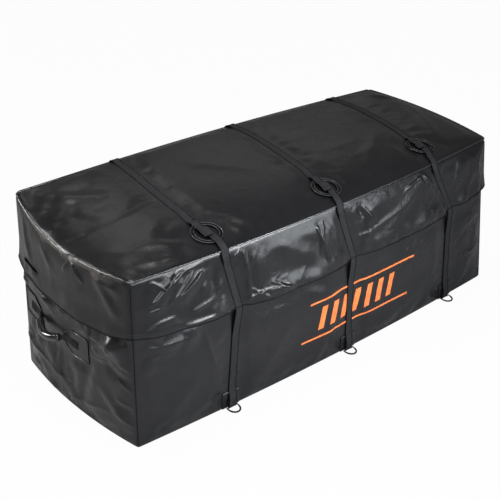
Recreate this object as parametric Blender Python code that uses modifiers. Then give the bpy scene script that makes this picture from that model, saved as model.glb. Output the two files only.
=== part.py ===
"""Soft hitch cargo bag: a tarpaulin tub and lid, packed full, strapped down over three lines.

X runs along the bag, the front wall faces -Y, Z is up and the origin is on the floor under the middle.
"""
import math

import bmesh
import bpy
from mathutils import Matrix, Vector

# Bag, in metres: size between its rounded corners, before the load swells the walls
LENGTH = 1.500
WIDTH = 0.590
HEIGHT = 0.565
EDGE_RADIUS = 0.014
CLOTH = 0.0012
FRONT_SWELL = 0.024
END_SWELL = 0.027
LID_SWELL = 0.008
BELLY = 0.006
CROWN_LEFT = 0.046
CROWN_RIGHT = 0.022

# Lid: how far its skirt stands off the tub, and how deep it hangs in the middle and at the corners
SKIRT_PROUD = 0.010
SKIRT_DEPTH = 0.213
SKIRT_CORNER_RISE = 0.026
SKIRT_END_RISE = 0.010
HEM_FLARE = 0.007
HEM_FLARE_DEPTH = 0.085

# The load lifts the lid along its back edge, more at the left, and lets the front edge drop
REAR_LIFT_LEFT = 0.032
REAR_LIFT_RIGHT = -0.002
FRONT_DROP = 0.008
LEFT_SAG = 0.022

# How the load pushes the corners along X and Y: (end, side, level) each -1 or 1, level 0 or 1
CORNER_SHIFT = {
    (-1, 1, 1): (0.010, 0.000),
    (-1, -1, 1): (0.000, -0.004),
    (1, 1, 1): (0.004, -0.006),
    (1, -1, 1): (-0.020, 0.018),
    (-1, 1, 0): (-0.012, -0.006),
    (-1, -1, 0): (-0.008, -0.008),
    (1, -1, 0): (0.022, 0.000),
    (1, 1, 0): (0.006, 0.000),
}

# Clearances
SEAM_GAP = 0.0008
REST_GAP = 0.0003
STRAP_GAP = 0.0006

# Zip under the skirt
ZIP_HEIGHT = 0.410
TAPE_DEPTH = 0.016
TAPE_THICKNESS = 0.0008
CHAIN_DEPTH = 0.006
CHAIN_THICKNESS = 0.0022
SLIDER_LENGTH = 0.014
SLIDER_REST = 0.012
SLIDER_TRAVEL = 0.200
SLIDER_BEVEL = 0.0003
PULL_LENGTH = 0.028
PULL_WIDTH = 0.007
PULL_THICKNESS = 0.0014

# Webbing and hardware
WEB_WIDTH = 0.025
WEB_THICKNESS = 0.0018
RING_OUTER = 0.047
RING_BAND = 0.011
RING_THICKNESS = 0.005
PIPING_RADIUS = 0.0022
D_WIRE = 0.0021
D_WIDTH = 0.040
D_REACH = 0.030
D_STANDOFF = 0.0065
D_AXIS_HEIGHT = 0.0052
FOOT_PATCH = (0.062, 0.060)

# Lashing lines: X at the back wall, the ring, the front edge, the skirt's hem and the foot,
# and how far the ring lies in from the front edge
LASHINGS = {
    "left": (-0.388, -0.441, -0.447, -0.397, -0.424, 0.063),
    "middle": (0.096, 0.022, 0.004, 0.068, 0.058, 0.063),
    "right": (0.560, 0.482, 0.458, 0.556, 0.544, 0.081),
}

# Carry handles on the end walls
HANDLE_Y = 0.146 * WIDTH
HANDLE_Z = 0.247
HANDLE_WEB_WIDTH = 0.028
HANDLE_WEB_FOLDED = 0.012
HANDLE_REACH = 0.217 * WIDTH
HANDLE_FREE = 0.160 * WIDTH
HANDLE_BOW = 0.037
HANDLE_DROOP = 0.014
HANDLE_STEPS = 22
GRIP_SLOT_STEPS = 14
GRIP_HALF = 0.105 * WIDTH
GRIP_RADIUS = 0.0115
GRIP_SLOT_GAP = 0.0006
HANDLE_PATCH_LENGTH = 0.200 * WIDTH
HANDLE_PATCH_HEIGHT = 0.082
PATCH_THICKNESS = 0.0010
PATCH_TAPER = 0.34

HALF_LENGTH = LENGTH / 2
HALF_WIDTH = WIDTH / 2
RAW_TOP = HEIGHT - SKIRT_PROUD
SKIRT_HEM = HEIGHT - SKIRT_DEPTH
COAT_TOP = REST_GAP + PATCH_THICKNESS

# Folds pressed into the cloth: from (s, t) to (s, t), half width and height.
# s runs along the wall and t up it; on the top panel s is X and t is Y.
LID_FOLDS = {
    "front": (
        (-0.660, 0.520, -0.585, 0.560, 0.016, 0.010),
        (-0.650, 0.500, -0.680, 0.440, 0.014, 0.008),
        (-0.610, 0.455, -0.525, 0.515, 0.016, 0.011),
        (-0.700, 0.400, -0.560, 0.372, 0.020, 0.007),
        (-0.480, 0.415, -0.470, 0.500, 0.013, 0.007),
        (-0.375, 0.530, -0.372, 0.380, 0.015, 0.009),
        (-0.300, 0.360, -0.180, 0.385, 0.020, 0.008),
        (-0.250, 0.520, -0.120, 0.430, 0.030, 0.006),
        (-0.030, 0.520, -0.015, 0.400, 0.014, 0.009),
        (0.110, 0.370, 0.140, 0.520, 0.018, 0.008),
        (0.230, 0.420, 0.360, 0.505, 0.028, 0.007),
        (0.330, 0.370, 0.460, 0.400, 0.016, 0.007),
        (0.400, 0.540, 0.440, 0.470, 0.013, 0.008),
        (0.610, 0.380, 0.690, 0.480, 0.020, 0.008),
    ),
    "back": (
        (-0.620, 0.400, -0.520, 0.500, 0.022, 0.008),
        (-0.250, 0.520, -0.120, 0.400, 0.024, 0.008),
        (0.250, 0.390, 0.380, 0.500, 0.024, 0.008),
        (0.640, 0.520, 0.680, 0.400, 0.020, 0.008),
    ),
    "left": (
        (0.240, 0.520, 0.190, 0.430, 0.018, 0.010),
        (0.110, 0.530, 0.060, 0.480, 0.014, 0.008),
        (-0.020, 0.400, -0.120, 0.480, 0.022, 0.007),
        (-0.180, 0.530, -0.250, 0.440, 0.018, 0.008),
    ),
    "right": (
        (-0.200, 0.420, -0.110, 0.510, 0.022, 0.008),
        (0.120, 0.510, 0.220, 0.410, 0.022, 0.009),
    ),
    "top": (
        (-0.690, 0.230, -0.560, 0.100, 0.030, 0.009),
        (-0.640, -0.180, -0.520, -0.235, 0.022, 0.006),
        (-0.250, 0.120, -0.100, -0.050, 0.045, 0.006),
        (0.230, -0.210, 0.400, -0.080, 0.030, 0.006),
        (0.300, 0.200, 0.470, 0.120, 0.030, 0.006),
        (0.600, -0.180, 0.700, 0.060, 0.026, 0.009),
        (0.640, 0.230, 0.710, 0.150, 0.020, 0.009),
    ),
}
TUB_FOLDS = {
    "front": (
        (-0.700, 0.300, -0.600, 0.315, 0.018, 0.007),
        (-0.690, 0.060, -0.560, 0.150, 0.034, 0.008),
        (-0.330, 0.060, -0.200, 0.200, 0.040, 0.006),
        (-0.120, 0.300, -0.020, 0.240, 0.026, 0.006),
        (0.210, 0.040, 0.420, 0.120, 0.036, 0.007),
        (0.650, 0.060, 0.715, 0.220, 0.024, 0.010),
    ),
    "back": (
        (-0.600, 0.080, -0.480, 0.240, 0.036, 0.008),
        (-0.200, 0.260, -0.050, 0.120, 0.036, 0.007),
        (0.250, 0.080, 0.420, 0.240, 0.036, 0.008),
    ),
    "left": (
        (0.230, 0.130, 0.060, 0.030, 0.026, 0.010),
        (0.110, 0.150, -0.060, 0.050, 0.026, 0.008),
        (-0.250, 0.090, -0.170, 0.160, 0.020, 0.009),
        (-0.255, 0.250, -0.180, 0.285, 0.018, 0.008),
        (-0.120, 0.090, -0.150, 0.230, 0.026, 0.006),
    ),
    "right": (
        (-0.200, 0.080, -0.060, 0.180, 0.030, 0.009),
        (0.150, 0.180, 0.240, 0.060, 0.030, 0.009),
    ),
    "bottom": (),
}

# How far beyond a strap, ring or patch the cloth stays pressed flat
PRESS_MARGIN = {"front": 0.052, "back": 0.108, "left": 0.045, "right": 0.074, "top": 0.056}

# Each wall of the bag: the direction of s, of t and of the outward normal
WALLS = {
    "front": (Vector((1, 0, 0)), Vector((0, 0, 1)), Vector((0, -1, 0))),
    "back": (Vector((1, 0, 0)), Vector((0, 0, 1)), Vector((0, 1, 0))),
    "left": (Vector((0, 1, 0)), Vector((0, 0, 1)), Vector((-1, 0, 0))),
    "right": (Vector((0, 1, 0)), Vector((0, 0, 1)), Vector((1, 0, 0))),
    "top": (Vector((1, 0, 0)), Vector((0, 1, 0)), Vector((0, 0, 1))),
    "bottom": (Vector((1, 0, 0)), Vector((0, 1, 0)), Vector((0, 0, -1))),
}

COLLECTION = "hitch_cargo_bag"
CUTTERS = "cutters"


def clear_scene():
    for item in list(bpy.data.objects):
        bpy.data.objects.remove(item)


def collection(name):
    made = bpy.data.collections.new(name)
    bpy.context.scene.collection.children.link(made)
    return made


def material(name, color, roughness, metallic=0.0):
    made = bpy.data.materials.new(name)
    made.use_nodes = True
    shader = made.node_tree.nodes["Principled BSDF"]
    shader.inputs["Base Color"].default_value = (*color, 1.0)
    shader.inputs["Roughness"].default_value = roughness
    shader.inputs["Metallic"].default_value = metallic
    made.diffuse_color = (*color, 1.0)
    return made


TARPAULIN = (0.032, 0.032, 0.035)
LID_TARPAULIN = (0.028, 0.028, 0.030)
WEBBING = (0.060, 0.060, 0.066)
HARDWARE = (0.010, 0.010, 0.011)
GRIP_RUBBER = (0.012, 0.012, 0.013)


def add_object(name, mesh, color, roughness, metallic=0.0, smooth=True):
    thing = bpy.data.objects.new(name, mesh)
    mesh.materials.append(material(name, color, roughness, metallic))
    if smooth:
        mesh.shade_smooth()
    bpy.data.collections[COLLECTION].objects.link(thing)
    return thing


def add_cutter(name, mesh):
    thing = bpy.data.objects.new(name, mesh)
    thing.hide_render = True
    thing.display_type = "WIRE"
    bpy.data.collections[CUTTERS].objects.link(thing)
    return thing


def clamp(value, low, high):
    return max(low, min(high, value))


def blend(a, b, share):
    return a + (b - a) * share


def smooth_step(low, high, value):
    share = clamp((value - low) / (high - low), 0.0, 1.0)
    return share * share * (3 - 2 * share)


# The bag's outer surface


def swollen(point):
    """Move a point of the plain box to where the load has pushed it."""
    a = clamp(point.x / HALF_LENGTH, -1.05, 1.05)
    b = clamp(point.y / HALF_WIDTH, -1.05, 1.05)
    c = clamp(point.z / HEIGHT, 0.0, 1.0)
    belly = BELLY * math.sin(math.pi * c)
    x = point.x + a * (END_SWELL + belly) * (1 - b * b)
    y = point.y + b * (FRONT_SWELL + belly + LID_SWELL * c * c) * (1 - a * a)
    for (end, side, level), (shift_x, shift_y) in CORNER_SHIFT.items():
        share = (1 + end * a) / 2 * (1 + side * b) / 2 * (c if level else 1 - c)
        x += shift_x * share
        y += shift_y * share
    rear = ((1 + b) / 2) ** 3 * blend(REAR_LIFT_LEFT, REAR_LIFT_RIGHT, (1 + a) / 2)
    crown = blend(CROWN_LEFT, CROWN_RIGHT, (1 + a) / 2) * (1 - a ** 4) * (1 - abs(b) ** 3)
    sag = LEFT_SAG * ((1 - a) / 2) ** 6 * (1 - b * b) * (1 + b / 2)
    z = point.z + c ** 3 * (rear + crown - sag - FRONT_DROP * (1 - b) / 2)
    return Vector((x, y, z))


def rounded(raw):
    """Give the centre of the edge rounding and the outward direction for a point of the plain box."""
    core = Vector((
        clamp(raw.x, EDGE_RADIUS - HALF_LENGTH, HALF_LENGTH - EDGE_RADIUS),
        clamp(raw.y, EDGE_RADIUS - HALF_WIDTH, HALF_WIDTH - EDGE_RADIUS),
        clamp(raw.z, EDGE_RADIUS, RAW_TOP - EDGE_RADIUS),
    ))
    return core, (raw - core).normalized()


def ring_place(line):
    """X and Y of a joining ring's middle."""
    return LASHINGS[line][1], LASHINGS[line][5] - HALF_WIDTH


def lashing_x(line, wall, t):
    """X of a lashing line where it crosses the top panel at Y = t, or a wall at height t."""
    back, ring, edge, hem, foot, inset = LASHINGS[line]
    ring_y = inset - HALF_WIDTH
    if wall == "top":
        if t > ring_y:
            return blend(ring, back, (t - ring_y) / (HALF_WIDTH - ring_y))
        return blend(ring, edge, (ring_y - t) / (HALF_WIDTH + ring_y))
    if wall == "back":
        return back
    if t > SKIRT_HEM:
        return blend(hem, edge, (t - SKIRT_HEM) / (RAW_TOP - SKIRT_HEM))
    return blend(foot, hem, t / SKIRT_HEM)


def under_strap(wall, s, t):
    """1 where the cloth is free, falling to 0 under a strap."""
    if wall in ("left", "right", "bottom"):
        return 1.0
    nearest = min(abs(s - lashing_x(line, wall, t)) for line in LASHINGS)
    patch_width, patch_height = FOOT_PATCH
    low = wall != "top" and t < patch_height + PRESS_MARGIN[wall]
    pressed = (patch_width if low else WEB_WIDTH) / 2 + PRESS_MARGIN[wall]
    free = smooth_step(pressed, pressed + WEB_WIDTH, nearest)
    if wall == "top":
        for line in LASHINGS:
            ring, ring_y = ring_place(line)
            away = math.hypot(s - ring, t - ring_y)
            pressed = RING_OUTER + PRESS_MARGIN[wall]
            free *= smooth_step(pressed, pressed + RING_OUTER, away)
    return free


def under_handle(wall, s, t):
    """1 where an end wall is free, falling to 0 behind its carry handle."""
    if wall not in ("left", "right"):
        return 1.0
    across = abs(s - HANDLE_Y) - (GRIP_HALF + HANDLE_PATCH_LENGTH)
    along = abs(t - HANDLE_Z) - HANDLE_PATCH_HEIGHT / 2
    return smooth_step(PRESS_MARGIN[wall], PRESS_MARGIN[wall] + 0.030, max(across, along))


def near_seam(wall, s, t):
    """1 inside a panel, falling to 0 where its edge is sewn to the next."""
    if wall == "top":
        to_edge = min(HALF_LENGTH - abs(s), HALF_WIDTH - abs(t))
    else:
        half = HALF_WIDTH if wall in ("left", "right") else HALF_LENGTH
        to_edge = min(half - abs(s), RAW_TOP - t, t)
    return smooth_step(EDGE_RADIUS * 1.1, EDGE_RADIUS * 2.5, to_edge)


def fold_height(folds, wall, s, t):
    total = 0.0
    for s0, t0, s1, t1, half_width, height in folds.get(wall, ()):
        ds, dt = s1 - s0, t1 - t0
        share = clamp(((s - s0) * ds + (t - t0) * dt) / (ds * ds + dt * dt), 0.0, 1.0)
        away = math.hypot(s - s0 - share * ds, t - t0 - share * dt)
        total += height * math.exp(-(away / half_width) ** 2)
    return total * under_strap(wall, s, t) * under_handle(wall, s, t) * near_seam(wall, s, t)


def wall_point(wall, s, t, proud, folds=None):
    """A point on the bag: s and t on the wall, proud of the tub's cloth."""
    along, up, out = WALLS[wall]
    base = {"front": HALF_WIDTH, "back": HALF_WIDTH, "left": HALF_LENGTH, "right": HALF_LENGTH,
            "top": RAW_TOP, "bottom": 0.0}[wall]
    raw = along * s + up * t + out * base
    core, direction = rounded(raw)
    fold = fold_height(folds, wall, s, t) if folds else 0.0
    if folds is LID_FOLDS and wall != "top":
        flare = HEM_FLARE * smooth_step(0.0, HEM_FLARE_DEPTH, SKIRT_HEM + HEM_FLARE_DEPTH - t)
        fold += flare * under_strap(wall, s, t)
    return swollen(core + direction * (EDGE_RADIUS + proud + fold))


def lines(low, high, step, edge_low=True, edge_high=True, edge_steps=2):
    """Grid lines from low to high: even in the middle, closer over each rounded edge."""
    values = []
    start = low + (EDGE_RADIUS if edge_low else 0.0)
    stop = high - (EDGE_RADIUS if edge_high else 0.0)
    if edge_low:
        values += [blend(low, start, i / edge_steps) for i in range(edge_steps)]
    count = max(1, round((stop - start) / step))
    values += [blend(start, stop, i / count) for i in range(count)]
    if edge_high:
        values += [blend(stop, high, i / edge_steps) for i in range(edge_steps)]
    return values + [high]


def grid_mesh(name, columns, rows, place):
    """A grid of columns by rows whose vertices place(column, row) puts in space."""
    mesh = bpy.data.meshes.new(name)
    bm = bmesh.new()
    bmesh.ops.create_grid(bm, x_segments=columns, y_segments=rows, size=1.0)
    for vertex in bm.verts:
        column = round((vertex.co.x + 1) / 2 * columns)
        row = round((vertex.co.y + 1) / 2 * rows)
        vertex.co = place(column, row)
    bmesh.ops.remove_doubles(bm, verts=bm.verts, dist=0.00002)
    bm.to_mesh(mesh)
    bm.free()
    return mesh


def thicken(thing, thickness, side):
    shell = thing.modifiers.new("thickness", "SOLIDIFY")
    shell.thickness = thickness
    shell.offset = side
    shell.use_even_offset = False
    return thing


def panel(name, wall, s_lines, t_lines, proud, thickness, color, roughness, folds=None, shape=None):
    """A sewn panel: a stretch of the bag's surface, given the cloth's thickness inward."""
    flip = wall in ("back", "left", "bottom")
    along = list(reversed(s_lines)) if flip else s_lines

    def place(column, row):
        s, t = along[column], t_lines[row]
        if shape:
            s, t = shape(s, t)
        return wall_point(wall, s, t, proud, folds)

    mesh = grid_mesh(name, len(along) - 1, len(t_lines) - 1, place)
    thing = add_object(name, mesh, color, roughness)
    return thicken(thing, thickness, -1)


# Tub


TUB_STEPS = {"front": 0.056, "back": 0.105, "left": 0.046, "right": 0.070}
TUB_ROWS = {"front": 0.056, "back": 0.090, "left": 0.050, "right": 0.080}
BOTTOM_STEPS = (0.360, 0.190)


def tub_rows(wall, top=ZIP_HEIGHT):
    """Heights of a tub wall's grid lines, and of what is sewn flat on it, up to top."""
    rows = lines(SEAM_GAP, ZIP_HEIGHT, TUB_ROWS[wall], edge_high=False)
    return [t for t in rows if t < top - SEAM_GAP] + [top]


def make_tub():
    for wall, step in TUB_STEPS.items():
        half = HALF_WIDTH if wall in ("left", "right") else HALF_LENGTH
        s_lines = lines(-half + SEAM_GAP, half - SEAM_GAP, step)
        panel(f"tub_{wall}_panel", wall, s_lines, tub_rows(wall), 0.0, CLOTH, TARPAULIN, 0.42, TUB_FOLDS)
    s_lines = lines(-HALF_LENGTH + SEAM_GAP, HALF_LENGTH - SEAM_GAP, BOTTOM_STEPS[0])
    t_lines = lines(-HALF_WIDTH + SEAM_GAP, HALF_WIDTH - SEAM_GAP, BOTTOM_STEPS[1])
    panel("tub_bottom_panel", "bottom", s_lines, t_lines, 0.0, CLOTH, TARPAULIN, 0.50)


# Lid


SKIRT_STEPS = {"front": 0.031, "back": 0.100, "left": 0.034, "right": 0.070}
SKIRT_ROWS = {"front": 0.032, "back": 0.070, "left": 0.036, "right": 0.070}
TOP_STEPS = (0.060, 0.056)


def hem_drop(wall, s, t):
    """Lift the skirt's hem towards the corners, and the rows above it in proportion."""
    half = HALF_WIDTH if wall in ("left", "right") else HALF_LENGTH
    middle = SKIRT_END_RISE if wall in ("left", "right") else 0.0
    rise = blend(middle, SKIRT_CORNER_RISE, abs(s / half) ** 4)
    return RAW_TOP - (RAW_TOP - t) * (1 - rise / (RAW_TOP - SKIRT_HEM))


def make_lid():
    for wall, step in SKIRT_STEPS.items():
        half = HALF_WIDTH if wall in ("left", "right") else HALF_LENGTH
        s_lines = lines(-half + SEAM_GAP, half - SEAM_GAP, step)
        t_lines = lines(SKIRT_HEM, RAW_TOP - SEAM_GAP, SKIRT_ROWS[wall], edge_low=False)
        panel(
            f"lid_{wall}_skirt", wall, s_lines, t_lines, SKIRT_PROUD, CLOTH, LID_TARPAULIN, 0.38,
            LID_FOLDS, lambda s, t, wall=wall: (s, hem_drop(wall, s, t)),
        )
    s_lines = lines(-HALF_LENGTH + SEAM_GAP, HALF_LENGTH - SEAM_GAP, TOP_STEPS[0])
    t_lines = lines(-HALF_WIDTH + SEAM_GAP, HALF_WIDTH - SEAM_GAP, TOP_STEPS[1])
    panel("lid_top_panel", "top", s_lines, t_lines, SKIRT_PROUD, CLOTH, LID_TARPAULIN, 0.40, LID_FOLDS)


def around(steps):
    """Walls and s values once round the bag, anticlockwise from above, at each wall's grid step."""
    loop = []
    for wall in ("front", "right", "back", "left"):
        half = HALF_WIDTH if wall in ("left", "right") else HALF_LENGTH
        values = lines(-half, half, steps[wall])
        if wall in ("back", "left"):
            values = list(reversed(values))
        loop += [(wall, s) for s in values[:-1]]
    return loop


PIPING_STEPS = {"front": 0.075, "back": 0.110, "left": 0.050, "right": 0.055}


def make_piping():
    """A cord of round piping along the seam between the top panel and the skirts."""
    points = [
        wall_point(wall, s, RAW_TOP, SKIRT_PROUD + PIPING_RADIUS + REST_GAP)
        for wall, s in around(PIPING_STEPS)
    ]
    cord("lid_top_piping", points, PIPING_RADIUS, LID_TARPAULIN, 0.35, cyclic=True, sides=0)


def cord(name, points, radius, color, roughness, metallic=0.0, cyclic=False, sides=2):
    curve = bpy.data.curves.new(name, "CURVE")
    curve.dimensions = "3D"
    curve.bevel_depth = radius
    curve.bevel_resolution = sides
    curve.use_fill_caps = not cyclic
    spline = curve.splines.new("POLY")
    spline.points.add(len(points) - 1)
    for point, place in zip(spline.points, points):
        point.co = (*place, 1.0)
    spline.use_cyclic_u = cyclic
    thing = bpy.data.objects.new(name, curve)
    curve.materials.append(material(name, color, roughness, metallic))
    bpy.data.collections[COLLECTION].objects.link(thing)
    return thing


# Zip


def ring_band(name, steps, low, high, thickness, proud_low, proud_high, color, roughness):
    """A band of tape or teeth once round the bag, between two heights, thickened outward."""
    loop = around(steps)

    def place(column, row):
        wall, s = loop[column % len(loop)]
        return wall_point(wall, s, high if row else low, proud_high if row else proud_low)

    mesh = grid_mesh(name, len(loop), 1, place)
    thing = add_object(name, mesh, color, roughness)
    return thicken(thing, thickness, 1)


ZIP_STEPS = {"front": 0.112, "back": 0.200, "left": 0.070, "right": 0.070}
ZIP_GAP = 0.0007
CHAIN_LOW = ZIP_HEIGHT + REST_GAP
CHAIN_HIGH = CHAIN_LOW + CHAIN_DEPTH
CHAIN_PROUD = ZIP_GAP


def make_zip():
    ring_band(
        "zip_lower_tape", ZIP_STEPS, ZIP_HEIGHT - TAPE_DEPTH, ZIP_HEIGHT - REST_GAP, TAPE_THICKNESS,
        ZIP_GAP, ZIP_GAP, WEBBING, 0.8,
    )
    ring_band(
        "zip_tooth_chain", ZIP_STEPS, CHAIN_LOW, CHAIN_HIGH, CHAIN_THICKNESS,
        CHAIN_PROUD, CHAIN_PROUD, HARDWARE, 0.35,
    )
    upper_proud = SKIRT_PROUD - CLOTH - ZIP_GAP - TAPE_THICKNESS
    ring_band(
        "zip_upper_tape", ZIP_STEPS, CHAIN_HIGH + REST_GAP, CHAIN_HIGH + 2 * TAPE_DEPTH, TAPE_THICKNESS,
        CHAIN_PROUD, upper_proud, WEBBING, 0.8,
    )


def slider_place(x):
    """Where a slider's middle sits on the tooth chain of the front wall, X given."""
    middle = (CHAIN_LOW + CHAIN_HIGH) / 2
    return wall_point("front", x, middle, CHAIN_PROUD + CHAIN_THICKNESS / 2)


def box_mesh(name, size, bevel=0.0):
    mesh = bpy.data.meshes.new(name)
    bm = bmesh.new()
    bmesh.ops.create_cube(bm, size=1.0, matrix=Matrix.Diagonal((*size, 1.0)))
    if bevel:
        bmesh.ops.bevel(bm, geom=bm.edges, offset=bevel, segments=1, affect="EDGES", profile=0.5)
    bm.to_mesh(mesh)
    bm.free()
    return mesh


SLIDER_CLEAR = 0.0008
SLIDER_WALL = 0.0012
SLIDER_LIP = CHAIN_THICKNESS - TAPE_THICKNESS - SLIDER_CLEAR
SLIDER_DEPTH = SLIDER_LIP + SLIDER_CLEAR + SLIDER_WALL
SLIDER_HEIGHT = CHAIN_DEPTH + 2 * SLIDER_CLEAR + 2 * SLIDER_WALL


def make_slider(name, direction):
    """A zip slider whose lips hook over the chain from outside, and the flat pull that hangs below it."""
    rest = slider_place(direction * SLIDER_REST)
    track = slider_place(direction * (SLIDER_REST + SLIDER_TRAVEL)) - rest
    turn = math.atan2(track.y * direction, track.x * direction)
    to_plate = CHAIN_THICKNESS / 2 + SLIDER_CLEAR
    middle = rest - Vector((0, to_plate + SLIDER_WALL - SLIDER_DEPTH / 2, 0))
    size = (SLIDER_LENGTH, SLIDER_DEPTH, SLIDER_HEIGHT)
    body = add_object(
        f"zip_slider_{name}", box_mesh("slider", size, SLIDER_BEVEL), HARDWARE, 0.30, 0.6, smooth=False,
    )
    body.location = middle
    body.rotation_euler.z = turn
    groove = (SLIDER_LENGTH * 2, SLIDER_DEPTH, CHAIN_DEPTH + 2 * SLIDER_CLEAR)
    cutter = add_cutter(f"slider_groove_{name}", box_mesh("groove", groove))
    cutter.location = middle + Vector((0, SLIDER_WALL, 0))
    cutter.rotation_euler.z = turn
    cut = body.modifiers.new("groove", "BOOLEAN")
    cut.operation = "DIFFERENCE"
    cut.object = cutter
    pull = add_object(
        f"zip_pull_{name}", box_mesh("pull", (PULL_WIDTH, PULL_THICKNESS, PULL_LENGTH), SLIDER_BEVEL),
        HARDWARE, 0.35, 0.4, smooth=False,
    )
    plate = (SLIDER_DEPTH - PULL_THICKNESS) / 2
    pull.location = middle - Vector((0, plate, SLIDER_HEIGHT / 2 + REST_GAP + PULL_LENGTH / 2))
    pull.rotation_euler.z = turn


def make_sliders():
    make_slider("left", -1)
    make_slider("right", 1)


# Straps


def web_band(name, pairs, thickness, color=WEBBING, roughness=0.75):
    """A flat length of webbing through pairs of edge points, thickened away from the bag."""
    mesh = grid_mesh(name, len(pairs) - 1, 1, lambda column, row: pairs[column][row])
    thing = add_object(name, mesh, color, roughness)
    return thicken(thing, thickness, 1)


STRAP_ON_TOP = SKIRT_PROUD + STRAP_GAP
OVER_PIPING = 2 * PIPING_RADIUS + 2 * REST_GAP
OVER_RING = RING_THICKNESS + 2 * STRAP_GAP
RING_LAP = 0.016
FOOT_RUN = 0.075


def ring_rise(line):
    """How far the flat ring's rim stands off the crowned lid where the straps cross it."""
    x, ring_y = ring_place(line)
    front = wall_point("top", x, ring_y - RING_OUTER, SKIRT_PROUD)
    rear = wall_point("top", x, ring_y + RING_OUTER, SKIRT_PROUD)
    return (wall_point("top", x, ring_y, SKIRT_PROUD) - (front + rear) / 2).length


def top_strap_proud(line, t, upper):
    """How far a strap lies off the tub's cloth on the top panel at Y = t."""
    away = abs(t - ring_place(line)[1])
    over = OVER_RING + ring_rise(line) * min(away / RING_OUTER, 1.0) ** 2
    hump = over * (1 - smooth_step(RING_OUTER + 0.004, RING_OUTER + 0.022, away))
    lap = (WEB_THICKNESS + STRAP_GAP) * (1 - smooth_step(RING_LAP, RING_LAP + 0.012, away)) if upper else 0.0
    edge = OVER_PIPING * smooth_step(HALF_WIDTH - 0.045, HALF_WIDTH - EDGE_RADIUS, abs(t))
    return STRAP_ON_TOP + max(hump, edge) + lap


def side_strap_proud(t):
    """How far a strap lies off the tub's cloth on the front or back wall at height t."""
    near_top = OVER_PIPING * smooth_step(RAW_TOP - 0.050, RAW_TOP - EDGE_RADIUS, t)
    on_tub = COAT_TOP + STRAP_GAP
    taut = blend(on_tub, STRAP_ON_TOP, smooth_step(SKIRT_HEM - 0.110, SKIRT_HEM - 0.004, t))
    at_foot = D_STANDOFF + D_WIRE + STRAP_GAP / 2
    foot = (at_foot - on_tub) * (1 - smooth_step(FOOT_RUN * 0.4, FOOT_RUN, t))
    return taut + near_top + foot


def strap_pair(line, wall, t, proud, lateral):
    """The strap's two edge points at t, the first on the side that lateral points away from."""
    x = lashing_x(line, wall, t)
    half = WEB_WIDTH / 2 * lateral
    return [wall_point(wall, x + side * half, t, proud) for side in (-1, 1)]


def foot_axis(line, wall):
    """The middle of the floor ring's bar in front of a wall."""
    x = lashing_x(line, wall, 0.0)
    place = wall_point(wall, x, FOOT_RUN * 0.4, D_STANDOFF)
    return Vector((place.x, place.y, D_AXIS_HEIGHT))


def foot_loop(line, wall, lateral, steps=5):
    """Edge pairs of the webbing that turns under the floor ring's bar and back up behind it."""
    axis = foot_axis(line, wall)
    outward = -1 if wall == "front" else 1
    radius = D_WIRE + STRAP_GAP / 2
    half = Vector((WEB_WIDTH / 2 * lateral, 0, 0))
    pairs = []
    for i in range(steps + 1):
        angle = math.pi * i / steps
        point = axis + Vector((0, outward * radius * math.cos(angle), -radius * math.sin(angle)))
        pairs.append([point - half, point + half])
    tail = axis + Vector((0, -outward * radius, FOOT_RUN * 0.32))
    pairs.append([tail - half, tail + half])
    return pairs


def top_lines(start, stop, ring_y):
    """Y stations of a strap across the top panel."""
    direction = 1 if stop > start else -1
    count = 8
    values = {round(blend(start, stop, i / count), 5) for i in range(count + 1)}
    for offset in (RING_OUTER + 0.003, RING_OUTER + 0.022, RING_LAP + 0.001, RING_LAP + 0.012):
        values |= {round(ring_y - offset, 5), round(ring_y + offset, 5)}
    edge = HALF_WIDTH - EDGE_RADIUS
    for offset in (0.025, 0.0, -EDGE_RADIUS / 3, -EDGE_RADIUS * 2 / 3):
        values.add(round(direction * (edge - offset), 5))
    low, high = min(start, stop), max(start, stop)
    kept = sorted(v for v in values if low - 1e-6 <= v <= high + 1e-6)
    return kept if direction > 0 else kept[::-1]


def side_lines():
    """Heights of a strap's stations down a wall, from the top edge to the foot."""
    edge = [RAW_TOP - EDGE_RADIUS * i / 3 for i in range(4)]
    skirt = [blend(RAW_TOP - EDGE_RADIUS, SKIRT_HEM, i / 5) for i in range(1, 6)]
    tub = [blend(SKIRT_HEM, FOOT_RUN, i / 5) for i in range(1, 6)]
    foot = [FOOT_RUN * share for share in (0.8, 0.6, 0.4, 0.28)]
    return edge + skirt + tub + foot


def make_lashing(line):
    ring_y = ring_place(line)[1]
    pairs = [
        strap_pair(line, "top", t, top_strap_proud(line, t, False), 1)
        for t in top_lines(ring_y + RING_LAP, -HALF_WIDTH, ring_y)
    ]
    pairs += [strap_pair(line, "front", t, side_strap_proud(t), 1) for t in side_lines()[1:]]
    web_band(f"strap_front_{line}", pairs + foot_loop(line, "front", 1), WEB_THICKNESS)
    pairs = [
        strap_pair(line, "top", t, top_strap_proud(line, t, True), -1)
        for t in top_lines(ring_y - RING_LAP, HALF_WIDTH, ring_y)
    ]
    pairs += [strap_pair(line, "back", t, side_strap_proud(t), -1) for t in side_lines()[1:]]
    web_band(f"strap_top_{line}", pairs + foot_loop(line, "back", -1), WEB_THICKNESS)


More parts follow.
